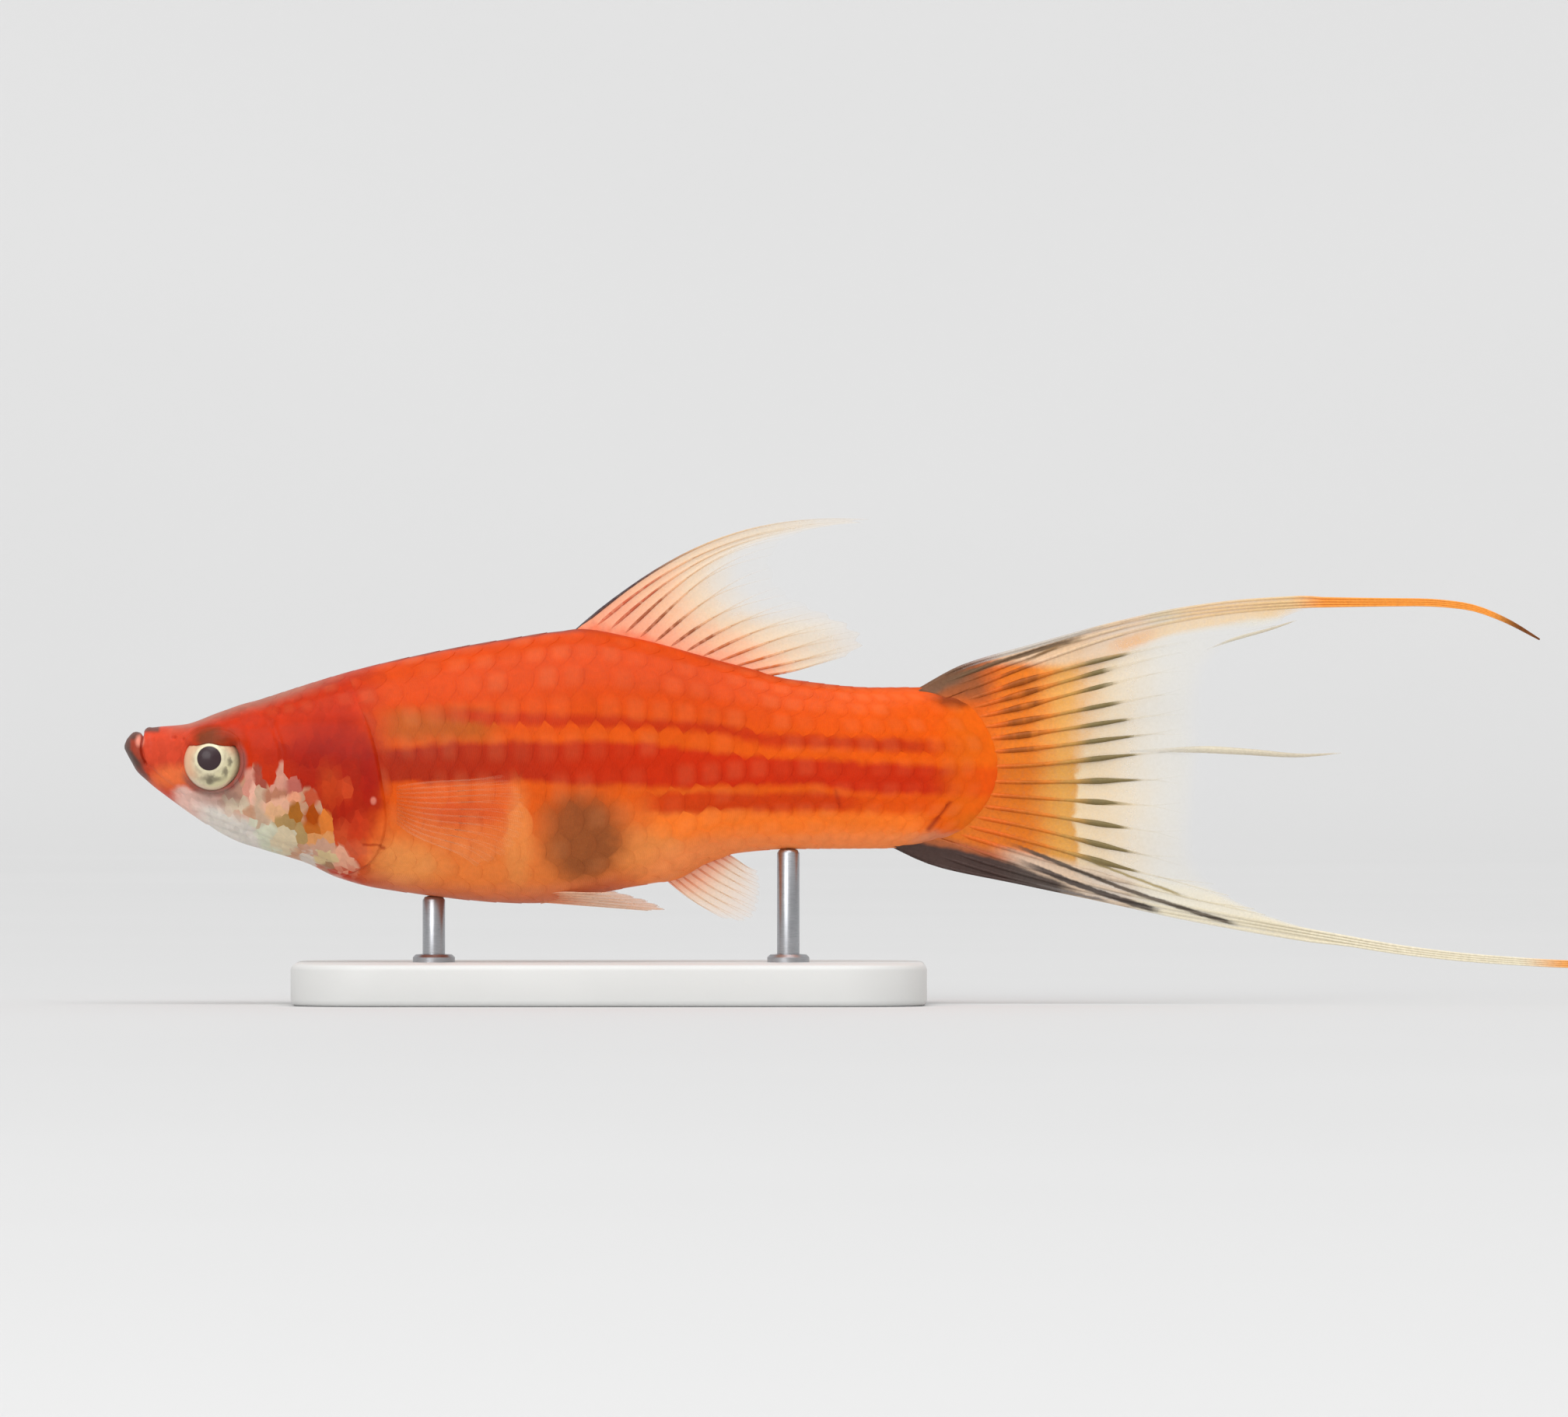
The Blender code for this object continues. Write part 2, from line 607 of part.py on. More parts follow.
def tail_rays():
    """The tail fin's rays, of which the outermost in each lobe end at the root of its sword."""
    rays = fin_rays(TAIL_RAYS, tail_root, TAIL_TIPS, TAIL_ROOT_ANGLE, TAIL_TIP_ANGLE)
    lobes = (UPPER_SWORD, range(SWORD_RAYS)), (LOWER_SWORD, range(TAIL_RAYS - SWORD_RAYS, TAIL_RAYS))
    for line, numbers in lobes:
        for k, offset in zip(numbers, sword_offsets()[::2]):
            angles = value_at(TAIL_ROOT_ANGLE, k), value_at(TAIL_TIP_ANGLE, k)
            rays[k] = bent_ray(tail_root(k), sword_place(line, 0.0, offset, GAP), *angles)
    rays[0] = edge_ray(UPPER_EDGE)
    rays[-1] = edge_ray(LOWER_EDGE)
    return rays


def tail_fin():
    rays = tail_rays()
    upper, lower = LOBE_CUTS
    last = TAIL_RAYS - 1
    parts = {
        "tail_fin_upper": (0, upper, range(SWORD_RAYS)),
        "tail_fin_middle": (upper, lower, ()),
        "tail_fin_lower": (lower, last, range(TAIL_RAYS - SWORD_RAYS, TAIL_RAYS)),
    }
    for name, (first, end, running_on) in parts.items():
        columns = fin_columns(rays, first, end, LONG_STEPS, TAIL_ROOT, running_on)
        fin(name, columns, upright, TAIL_FIN)


def sword(name, line):
    """A long tapered ribbon with the ridges of its rays along it."""
    columns = []
    for c, offset in enumerate(sword_offsets()):
        full = WEB if c % 2 else RAY_RIDGE
        column = []
        for i in range(SWORD_STEPS + 1):
            t = i / SWORD_STEPS
            thick = full + (TIP_THICKNESS - full) * smooth_step((t - 0.6) / 0.4)
            column.append((sword_place(line, t, offset), thick / 2))
        columns.append(column)
    fin(name, columns, upright, SWORD)


def pectoral_fins():
    x0, top, width = PECTORAL_ROOT
    flare, droop = math.radians(PECTORAL_FLARE), math.tan(math.radians(PECTORAL_DROOP))

    def root(k):
        return 0.0, -width * k / (PECTORAL_RAYS - 1)

    rays = fin_rays(PECTORAL_RAYS, root, PECTORAL_TIPS, PECTORAL_FAN, PECTORAL_FAN)
    columns = fin_columns(rays, 0, PECTORAL_RAYS - 1, SHORT_STEPS, PAIRED_ROOT)
    for side, name in ((-1, "pectoral_fin_left"), (1, "pectoral_fin_right")):

        def lay(a, b, n, side=side):
            root_y = flank(x0, top + max(b, -width)) + GAP + PAIRED_ROOT / 2
            y = root_y + a * math.sin(flare) + n * math.cos(flare)
            return place(x0 + a * math.cos(flare) - n * math.sin(flare), side * y, top + b - a * droop)

        fin(name, columns, lay, CLEAR_FIN)


def pelvic_fins():
    x0, inner, width = PELVIC_ROOT
    tilt, sink = math.radians(PELVIC_TILT), math.tan(math.radians(PELVIC_SINK))

    def root(k):
        return 0.0, width * k / (PELVIC_RAYS - 1)

    rays = fin_rays(PELVIC_RAYS, root, PELVIC_TIPS, PELVIC_FAN, PELVIC_FAN)
    columns = fin_columns(rays, 0, PELVIC_RAYS - 1, SHORT_STEPS, PAIRED_ROOT)
    root_z = value_at(BELLY_LINE, x0) - GAP - PAIRED_ROOT / 2
    for side, name in ((-1, "pelvic_fin_left"), (1, "pelvic_fin_right")):

        def lay(a, b, n, side=side):
            y = inner + b * math.cos(tilt) - n * math.sin(tilt)
            z = root_z - a * sink + b * math.sin(tilt) + n * math.cos(tilt)
            return place(x0 + a, side * y, z)

        fin(name, columns, lay, CLEAR_FIN)


def stand_base():
    """A flat plate with round corners and a soft upper edge, with a hole for each rod."""
    bm = bmesh.new()
    bmesh.ops.create_cube(bm, size=1.0)
    bmesh.ops.scale(bm, vec=Vector((BASE_LENGTH, BASE_WIDTH, BASE_THICKNESS)) * MM, verts=bm.verts)
    middle = place(BASE_MIDDLE, 0.0, BASE_THICKNESS / 2 - AXIS_HEIGHT)
    bmesh.ops.translate(bm, vec=Vector((middle.x, 0.0, middle.z)), verts=bm.verts)
    corners = [e for e in bm.edges if abs(e.verts[0].co.z - e.verts[1].co.z) > BASE_THICKNESS * MM / 2]
    bmesh.ops.bevel(bm, geom=corners, offset=BASE_CORNER * MM, segments=8, profile=0.5, affect="EDGES")
    upper = BASE_THICKNESS * MM - 1e-6
    rim = [e for e in bm.edges if all(v.co.z > upper for v in e.verts)]
    bmesh.ops.bevel(bm, geom=rim, offset=BASE_EDGE * MM, segments=3, profile=0.5, affect="EDGES")
    base = new_object("stand_base", bm, BASE, 0.4)
    holes = [round_bar(f"cut_{name}", x, ROD_RADIUS + GAP, ROD_SINK + GAP) for name, x in ROD_PLACES.items()]
    cut_away(base, holes)


def round_bar(name, x, radius, sink):
    """An upright round bar from some way down in the base to just under the belly."""
    low = BASE_THICKNESS - sink - AXIS_HEIGHT
    high = min(value_at(BELLY_LINE, x + step * ROD_RADIUS) for step in (-1, 0, 1)) - GAP
    bm = bmesh.new()
    bmesh.ops.create_cone(
        bm, cap_ends=True, segments=20, radius1=radius * MM, radius2=radius * MM, depth=(high - low) * MM
    )
    middle = place(x, 0.0, (high + low) / 2)
    bmesh.ops.translate(bm, vec=Vector((middle.x, 0.0, middle.z)), verts=bm.verts)
    return new_object(name, bm, STEEL, 0.3, 1.0)


def main():
    for obj in list(bpy.data.objects):
        bpy.data.objects.remove(obj)
    head_and_jaw()
    new_object("torso", loft(spaced(GILL_ROW + GAP, VENT, TORSO_STEP) + [VENT]), SKIN)
    new_object("tail_stalk", loft(spaced(VENT + GAP, FLESH_ROW, STALK_STEP) + [FLESH_ROW]), SKIN)
    eyes()
    dorsal_fin()
    anal_fin()
    tail_fin()
    sword("tail_sword_upper", UPPER_SWORD)
    sword("tail_sword_lower", LOWER_SWORD)
    pectoral_fins()
    pelvic_fins()
    stand_base()
    for name, x in ROD_PLACES.items():
        round_bar(name, x, ROD_RADIUS, ROD_SINK)


main()
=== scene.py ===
"""The looks of the still lyretail swordtail: skin, scales, fins, eyes, stand, light and camera.

Lengths are in millimetres of the fish, as in the part's source. A point of the fish is (x, y, z): x runs back
from the tip of the lower lip, y is to the fish's right, and z is up from the line through the middle of its
eye and tail. place() turns such points into the frame's metres.
"""

import math

import bmesh
import bpy
import numpy as np
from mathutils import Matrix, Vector


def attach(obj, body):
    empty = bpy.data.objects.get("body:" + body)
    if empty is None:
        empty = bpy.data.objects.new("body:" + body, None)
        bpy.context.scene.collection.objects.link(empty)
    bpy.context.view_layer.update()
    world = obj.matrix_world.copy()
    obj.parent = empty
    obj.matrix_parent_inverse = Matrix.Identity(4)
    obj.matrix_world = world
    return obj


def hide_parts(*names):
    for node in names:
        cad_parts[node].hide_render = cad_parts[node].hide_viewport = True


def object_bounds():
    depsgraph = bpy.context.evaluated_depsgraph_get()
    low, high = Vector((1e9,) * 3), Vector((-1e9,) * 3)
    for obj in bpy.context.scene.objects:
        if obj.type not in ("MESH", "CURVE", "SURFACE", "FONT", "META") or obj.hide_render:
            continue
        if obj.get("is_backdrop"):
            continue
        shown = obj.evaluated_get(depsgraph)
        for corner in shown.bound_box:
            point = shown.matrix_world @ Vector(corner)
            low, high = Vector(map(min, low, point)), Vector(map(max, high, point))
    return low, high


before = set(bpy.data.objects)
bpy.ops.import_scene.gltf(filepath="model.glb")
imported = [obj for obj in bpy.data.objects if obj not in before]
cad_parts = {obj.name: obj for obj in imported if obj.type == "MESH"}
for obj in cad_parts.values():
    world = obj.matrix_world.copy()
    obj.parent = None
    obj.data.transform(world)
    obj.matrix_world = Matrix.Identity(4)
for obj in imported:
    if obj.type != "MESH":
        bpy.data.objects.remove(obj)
cad_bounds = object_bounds()

MM = 0.001

# Sizes shared with the part's source
TOTAL_LENGTH = 115.0
AXIS_HEIGHT = 17.5
SWAY = 3.0
SWAY_START = 34.0
BACK_LINE = [
    (0.0, 0.95), (0.25, 1.42), (0.75, 1.72), (1.3, 1.74), (1.85, 2.16), (4.4, 2.43), (6.6, 3.22),
    (9.4, 4.2), (17.7, 6.7), (26.5, 8.46), (32.4, 9.2), (36.1, 8.6), (43.4, 6.66), (48.0, 5.62),
    (53.4, 5.12), (63.0, 5.3),
]
BELLY_LINE = [
    (0.0, 0.7), (0.4, 0.0), (1.4, -1.38), (2.75, -2.52), (7.2, -5.5), (9.3, -6.4), (12.8, -7.5),
    (15.2, -8.6), (18.1, -9.35), (28.7, -10.4), (36.0, -9.25), (39.3, -8.6), (41.5, -7.45), (43.6, -6.85),
    (47.0, -6.55), (63.0, -6.45),
]
HALF_WIDTH = [
    (0.0, 0.25), (0.3, 1.05), (1.0, 1.7), (2.2, 2.2), (4.4, 2.95), (6.5, 3.5), (9.4, 4.1), (13.0, 4.65),
    (18.0, 5.1), (24.0, 5.45), (30.0, 5.35), (36.0, 4.6), (42.0, 3.4), (48.0, 2.65), (54.0, 2.05),
    (59.0, 1.25), (63.0, 0.75),
]
WIDEST = [
    (0.0, 0.85), (1.5, 0.6), (4.0, 0.6), (6.5, 0.2), (12.0, -0.8), (20.0, -1.8), (30.0, -2.2),
    (40.0, -1.2), (48.0, -0.6), (63.0, -0.6),
]
CROWN = [(0.0, 2.0), (2.0, 2.5), (6.0, 2.9), (12.0, 2.6), (20.0, 2.2), (40.0, 2.0), (63.0, 2.2)]
KEEL = [(0.0, 2.0), (6.0, 2.0), (15.0, 2.1), (28.0, 2.3), (40.0, 2.1), (63.0, 2.2)]
GILL_EDGE = [
    (0.0, 15.4), (0.25, 16.4), (0.45, 18.0), (0.6, 18.6), (0.72, 18.0), (0.85, 16.2), (0.93, 15.3),
    (1.0, 15.1),
]
GILL_ROW = 17.0
GILL_REACH = 9.0
GILL_LIFT = 0.2
GILL_RISE = 5.5
FLESH_EDGE = [(0.0, 57.0), (0.25, 60.6), (0.5, 62.3), (0.75, 60.2), (1.0, 55.3)]
FLESH_ROW = 60.0
FLESH_REACH = 14.0
MOUTH_LINE = [
    (1.30, 2.9), (1.33, 1.7), (1.22, 0.7), (1.55, -0.35), (2.6, -1.35), (4.2, -2.6), (5.0, -3.5), (5.1, -5.4),
]
MOUTH_CORNER = 3
NOSE = (0.0, 0.0, 0.82)
EYE = (6.36, 3.05, -0.25)
EYE_RADIUS = 2.05
EYE_DEPTH = 1.25

DORSAL_RAYS = 13
DORSAL_ROOT = (31.8, 45.2)
DORSAL_TIPS = [
    (0, 53.0, 17.0), (1, 52.4, 16.75), (2, 50.3, 16.55), (3, 47.9, 16.0), (4, 46.3, 14.9), (5, 46.1, 13.2),
    (6, 46.9, 11.9), (8, 49.9, 10.3), (10, 52.3, 8.9), (11, 52.5, 8.0), (12, 51.2, 7.2),
]
DORSAL_ROOT_ANGLE = [(0, 41), (3, 44), (6, 38), (8, 28), (10, 15), (12, 5)]
DORSAL_TIP_ANGLE = [(0, -3), (3, 8), (6, 14), (9, 8), (12, 14)]
TAIL_RAYS = 21
SWORD_RAYS = 4
TAIL_TIPS = [
    (4, 82.2, 9.5), (5, 79.2, 8.3), (6, 77.5, 6.8), (7, 77.0, 5.0), (9, 76.8, 2.0), (10, 76.9, 0.5),
    (11, 76.7, -1.6), (13, 76.3, -5.6), (14, 76.6, -7.6), (15, 78.0, -9.4), (16, 81.4, -11.2),
]
TAIL_ROOT_ANGLE = [(0, 24), (3, 22), (6, 12), (10, 0), (14, -9), (17, -19), (20, -20)]
TAIL_TIP_ANGLE = [(3, 2), (4, 10), (7, 8), (10, 0), (13, -6), (16, -12), (17, -10)]
UPPER_EDGE = [
    (0.0, 56.2, 4.7), (0.09, 59.6, 6.55), (0.26, 64.7, 8.05), (0.44, 69.6, 9.4), (0.63, 74.9, 10.6),
    (0.81, 79.8, 11.25), (1.0, 84.3, 11.52),
]
LOWER_EDGE = [
    (0.0, 54.4, -6.1), (0.07, 57.4, -7.5), (0.27, 63.4, -8.8), (0.47, 69.6, -10.12), (0.65, 75.1, -11.35),
    (0.82, 80.1, -12.3), (1.0, 85.2, -13.15),
]
UPPER_SWORD = [
    (0.0, 84.6, 11.1), (0.2, 88.0, 11.1), (0.45, 92.0, 11.1), (0.65, 95.3, 10.85), (0.82, 98.1, 9.9),
    (1.0, 100.7, 8.45),
]
LOWER_SWORD = [
    (0.0, 85.5, -12.75), (0.2, 91.6, -13.75), (0.42, 97.5, -14.35), (0.65, 104.5, -14.7),
    (0.85, 110.5, -14.6), (1.0, 114.9, -14.1),
]
SWORD_HALF_DEPTH = [(0.0, 0.3), (0.25, 0.24), (0.6, 0.2), (0.9, 0.1), (1.0, 0.02)]
STREAMERS = {
    "tail_streamer": [
        (0.0, 71.5, 0.5), (0.3, 76.5, 0.62), (0.5, 79.5, 0.48), (0.75, 83.6, 0.2), (1.0, 87.0, 0.4),
    ],
    "upper_streamer": [(0.0, 76.6, 7.6), (0.35, 79.0, 8.5), (0.7, 81.5, 9.2), (1.0, 83.6, 9.9)],
}
ANAL_RAYS = 9
ANAL_ROOT = (38.4, 42.6)
ANAL_TIPS = [
    (0, 42.6, -11.4), (1, 44.0, -11.6), (2, 44.7, -11.3), (4, 45.1, -10.2), (6, 45.2, -9.1),
    (8, 45.0, -8.0),
]
ANAL_ROOT_ANGLE = [(0, -42), (4, -36), (8, -22)]
ANAL_TIP_ANGLE = [(0, -28), (4, -26), (8, -16)]
PELVIC_RAYS = 6
PELVIC_ROOT = (29.6, 0.75, 1.45)
PELVIC_TIPS = [(0, 7.6, -0.3), (1, 8.8, 0.1), (3, 7.4, 1.6), (5, 5.2, 2.6)]
PELVIC_FAN = [(0, -2), (5, 22)]
PELVIC_TILT = 24.0
PELVIC_SINK = 4.0
PECTORAL_RAYS = 12
PECTORAL_ROOT = (19.5, -2.0, 2.6)
PECTORAL_TIPS = [(0, 8.2, 1.7), (3, 9.8, 0.4), (6, 9.9, -1.7), (9, 8.4, -3.9), (11, 6.2, -5.0)]
PECTORAL_FAN = [(0, 16), (11, -34)]
PECTORAL_FLARE = 24.0
PECTORAL_DROOP = 6.0
HANDLE = 0.4
BASE_LENGTH = 45.0
BASE_WIDTH = 28.0
BASE_THICKNESS = 3.0
BASE_MIDDLE = 34.5
BASE_CORNER = 6.0
ROD_RADIUS = 0.8
ROD_PLACES = {"stand_rod_front": 22.0, "stand_rod_rear": 47.2}

# The skin's rows of vertices, as stretches of (start, stop, step), and the columns round the body
SKIN_ROWS = [
    (0.0, 0.3, 0.03), (0.3, 3.0, 0.05), (3.0, 4.3, 0.1), (4.3, 8.5, 0.06), (8.5, 16.6, 0.15),
    (16.6, 17.6, 0.05), (17.6, 54.0, 0.4), (54.0, 60.0, 0.2),
]
SKIN_ROUND = 200
SCALE_BED = 0.1  # the skin lies this far inside the solids where scales cover it
TAPER = 6.0  # the flesh thins out to the tail's edge over this length

# The scales: how many rows a side has, their pitch along the body, and their size in pitches
SCALE_ROWS = 12
SCALE_PITCH = [(8.0, 1.15), (17.0, 1.6), (26.0, 1.8), (38.0, 1.78), (50.0, 1.45), (60.0, 1.1)]
SCALE_LENGTH = 1.55
SCALE_HALF_HEIGHT = 0.74
SCALE_RISE = 0.045
SCALE_THICKNESS = 0.02
PATCH = 0.003  # a scale's share of the map that its colours are baked on


def curve(points):
    """A smooth curve through (place, value) points, which reads numbers and arrays."""
    at, value = np.array(points, float).T
    slope = np.diff(value) / np.diff(at)
    before, after = slope[:-1], slope[1:]
    total = np.where(before * after > 0, before + after, np.inf)
    tangent = np.concatenate([slope[:1], 2 * before * after / total, slope[-1:]])

    def read(x):
        x = np.clip(x, at[0], at[-1])
        k = np.clip(np.searchsorted(at, x, side="right") - 1, 0, len(slope) - 1)
        span = at[k + 1] - at[k]
        t = (x - at[k]) / span
        return (
            (2 * t**3 - 3 * t**2 + 1) * value[k]
            + (t**3 - 2 * t**2 + t) * span * tangent[k]
            + (3 * t**2 - 2 * t**3) * value[k + 1]
            + (t**3 - t**2) * span * tangent[k + 1]
        )

    return read


def line_at(rows, at):
    """Points (first, second) at some places, from rows of (place, first, second)."""
    first = curve([(r[0], r[1]) for r in rows])
    second = curve([(r[0], r[2]) for r in rows])
    return np.stack([first(at), second(at)], axis=-1)


back_line, belly_line, half_width = curve(BACK_LINE), curve(BELLY_LINE), curve(HALF_WIDTH)
widest, crown, keel = curve(WIDEST), curve(CROWN), curve(KEEL)
gill_edge, flesh_edge, scale_pitch = curve(GILL_EDGE), curve(FLESH_EDGE), curve(SCALE_PITCH)


def smooth_step(t):
    t = np.clip(t, 0.0, 1.0)
    return t * t * (3 - 2 * t)


def bell(distance, width):
    return np.exp(-((distance / width) ** 2))


def sway(x):
    """How far the body swings to the fish's right at x."""
    return SWAY * (np.maximum(0.0, x - SWAY_START) / (TOTAL_LENGTH - SWAY_START)) ** 2


def place(points):
    """The fish's points in the frame's metres."""
    x, y, z = np.moveaxis(np.asarray(points, float), -1, 0)
    return np.stack([x - TOTAL_LENGTH / 2, y + sway(x), z + AXIS_HEIGHT], axis=-1) * MM


def leaned(row, share):
    """A row's x where it leans to follow the gill edge or the edge of the flesh."""
    gill = smooth_step(1 - np.abs(row - GILL_ROW) / GILL_REACH)
    flesh = smooth_step(1 - (FLESH_ROW - row) / FLESH_REACH)
    return row + gill * (gill_edge(share) - GILL_ROW) + flesh * (flesh_edge(share) - FLESH_ROW)


def unwound(turn):
    """(share, side): share runs from 0 on the back to 1 under the belly, and side is -1 left or 1 right."""
    turn = (turn + 1) % 2 - 1
    return np.abs(turn), np.where(turn < 0, -1.0, 1.0)


def body(row, turn):
    """Points on the bare body. turn runs from -1 under the belly, over the back at 0, to 1 under it again."""
    share, side = unwound(turn)
    x = leaned(row, share)
    middle = widest(x)
    upper = share <= 0.5
    power = np.where(upper, crown(x), keel(x))
    height = np.where(upper, back_line(x), belly_line(x)) - middle
    angle = np.pi * share
    thin = np.sqrt(np.clip(1 - ((row - FLESH_ROW + TAPER) / TAPER).clip(0) ** 2, 0, 1))
    y = half_width(x) * thin * np.sin(angle).clip(0) ** (2 / power)
    z = middle + height * np.abs(np.cos(angle)) ** (2 / power)
    return np.stack([x, side * y, z], axis=-1)


def flank(x, z):
    """Half the body's width at x and at one height."""
    middle = widest(x)
    upper = z > middle
    power = np.where(upper, crown(x), keel(x))
    line = np.where(upper, back_line(x), belly_line(x))
    share = np.clip(np.abs((z - middle) / (line - middle)), 0, 1)
    return half_width(x) * (1 - share**power) ** (1 / power)


def way_off(x, z, line):
    """How far points of the side view are from a line of straight stretches, below nought in front of it."""
    nearest = np.full(np.shape(x), np.inf)
    for (ax, az), (bx, bz) in zip(line, line[1:]):
        ux, uz = bx - ax, bz - az
        share = np.clip(((x - ax) * ux + (z - az) * uz) / (ux * ux + uz * uz), 0, 1)
        dx, dz = x - ax - share * ux, z - az - share * uz
        gap = np.hypot(dx, dz) * np.where(ux * dz - uz * dx < 0, -1, 1)
        nearest = np.where(np.abs(gap) < np.abs(nearest), gap, nearest)
    return nearest


# Small forms of the face: (line, depth, width) grooves, and nostrils as (x, z, radius, depth)
FACE_GROOVES = [
    ([(10.6, 2.6), (11.3, 0.5), (11.4, -1.8), (10.8, -4.2), (9.0, -5.6)], 0.08, 0.2),
    ([(8.9, 0.9), (9.5, -1.0), (8.9, -3.0), (7.2, -4.1)], 0.05, 0.22),
    ([(5.2, -3.9), (8.0, -5.0), (11.5, -6.3), (15.0, -7.6)], 0.1, 0.16),
    ([(6.0, -4.75), (9.0, -5.75), (12.0, -6.9), (15.0, -8.2)], 0.07, 0.14),
]
NOSTRILS = [(3.6, 1.5, 0.16, 0.22), (4.3, 1.3, 0.11, 0.16)]


def face_relief(x, z):
    """How far the lips, mouth, nostrils, rim of the eye and plates of the cheek stand off the face."""
    mouth = way_off(x, z, MOUTH_LINE[: MOUTH_CORNER + 1])
    jaw = way_off(x, z, MOUTH_LINE[MOUTH_CORNER:-2])
    lift = 0.16 * bell(mouth + 0.5, 0.4) + 0.14 * bell(mouth - 0.3, 0.24) - 0.24 * bell(mouth, 0.1)
    lift = lift - 0.08 * bell(jaw, 0.12) + 0.04 * bell(jaw - 0.35, 0.25)
    for line, depth, width in FACE_GROOVES:
        lift = lift - depth * bell(way_off(x, z, line), width)
    for nx, nz, radius, depth in NOSTRILS:
        away = np.hypot(x - nx, z - nz)
        lift = lift - depth * bell(away, radius) + 0.02 * bell(away - 1.8 * radius, 0.6 * radius)
    away = np.hypot(x - EYE[0], z - EYE[2])
    above = smooth_step((z - EYE[2]) / EYE_RADIUS)
    return lift + (0.1 + 0.16 * above) * bell(away - EYE_RADIUS - 0.25, 0.45)


def cover_relief(row, share):
    """How far the gill cover stands proud in front of its rear edge, with the cleft behind it."""
    free = smooth_step((share - 0.26) / 0.22) * smooth_step((0.97 - share) / 0.2)
    rise = smooth_step((row - GILL_ROW + GILL_RISE) / GILL_RISE) * smooth_step((GILL_ROW + 0.2 - row) / 0.3)
    return (GILL_LIFT * rise - 0.06 * bell(row - GILL_ROW - 0.22, 0.12)) * free


def fin_seats(x, share):
    """How far the flesh swells where the dorsal, anal and pectoral fins grow out of it."""
    first, last = DORSAL_ROOT
    top = smooth_step((x - first + 0.8) / 1.2) * smooth_step((last + 0.8 - x) / 1.2) * bell(share, 0.05)
    first, last = ANAL_ROOT
    under = smooth_step((x - first + 0.6) / 0.8) * smooth_step((last + 0.6 - x) / 0.8) * bell(1 - share, 0.05)
    return 0.1 * (top + under)


def on_skin(row, turn, lift=0.0):
    """Points on the skin, or some way above it."""
    step_along, step_round = 0.02, 0.003
    base = body(row, turn)
    ahead, behind = np.maximum(row - step_along, 0.0), np.minimum(row + step_along, FLESH_ROW)
    along = body(behind, turn) - body(ahead, turn)
    round_it = body(row, turn + step_round) - body(row, turn - step_round)
    out = np.cross(along, round_it)
    out /= np.linalg.norm(out, axis=-1, keepdims=True) + 1e-12
    share, side = unwound(turn)
    x, z = base[..., 0], base[..., 2]
    bed = SCALE_BED * smooth_step((row - 8.0) / 2.0)
    relief = np.where(row < GILL_ROW, face_relief(x, z), 0.0) + cover_relief(row, share) + fin_seats(x, share)
    base = base + out * (relief - bed + lift)[..., None]
    # The skin dives into the socket round the eye
    away = np.hypot(x - EYE[0], z - EYE[2])
    dive = smooth_step((EYE_RADIUS + 0.06 - away) / 0.12) * (np.abs(base[..., 1]) > EYE[1] / 2)
    base[..., 1] += dive * (side * 2.5 - base[..., 1])
    return base


# Forms: small meshes in plain coordinates, whose corners are then laid on the fish

def sheet_form(along, across):
    """A sheet from (0, 0) to (1, 1)."""
    bm = bmesh.new()
    bmesh.ops.create_grid(bm, x_segments=along, y_segments=across, size=0.5)
    bmesh.ops.translate(bm, vec=(0.5, 0.5, 0.0), verts=bm.verts)
    return bm


def plate_form(along, across):
    """A sheet with a second one below it, at z = -1, and walls between them."""
    bm = sheet_form(along, across)
    grown = bmesh.ops.extrude_face_region(bm, geom=bm.faces[:], use_keep_orig=True)["geom"]
    moved = [v for v in grown if isinstance(v, bmesh.types.BMVert)]
    bmesh.ops.translate(bm, vec=(0.0, 0.0, -1.0), verts=moved)
    return bm


def tube_form(sides, steps):
    """A closed tube of radius 1 that runs from z = 0 to z = 1."""
    bm = bmesh.new()
    bmesh.ops.create_circle(bm, segments=sides, radius=1.0)
    rim = bm.edges[:]
    for _ in range(steps):
        grown = bmesh.ops.extrude_edge_only(bm, edges=rim)["geom"]
        rim = [g for g in grown if isinstance(g, bmesh.types.BMEdge)]
        moved = [g for g in grown if isinstance(g, bmesh.types.BMVert)]
        bmesh.ops.translate(bm, vec=(0.0, 0.0, 1.0 / steps), verts=moved)
    bmesh.ops.holes_fill(bm, edges=bm.edges, sides=0)
    return bm


def corners_of(bm):
    """A form's corners as three rows of numbers, with the faces between them."""
    bmesh.ops.recalc_face_normals(bm, faces=bm.faces)
    bm.verts.index_update()
    corners = np.array([v.co for v in bm.verts], float).T
    faces = [[v.index for v in f.verts] for f in bm.faces]
    bm.free()
    return corners, faces


def object_of(mesh, look, nodes=()):
    """Puts a finished mesh in the scene as a piece that rides on the part."""
    obj = bpy.data.objects.new(mesh.name, mesh)
    bpy.context.scene.collection.objects.link(obj)
    mesh.materials.append(look)
    mesh.shade_smooth()
    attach(obj, "root")
    if nodes:
        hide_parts(*nodes)
    return obj


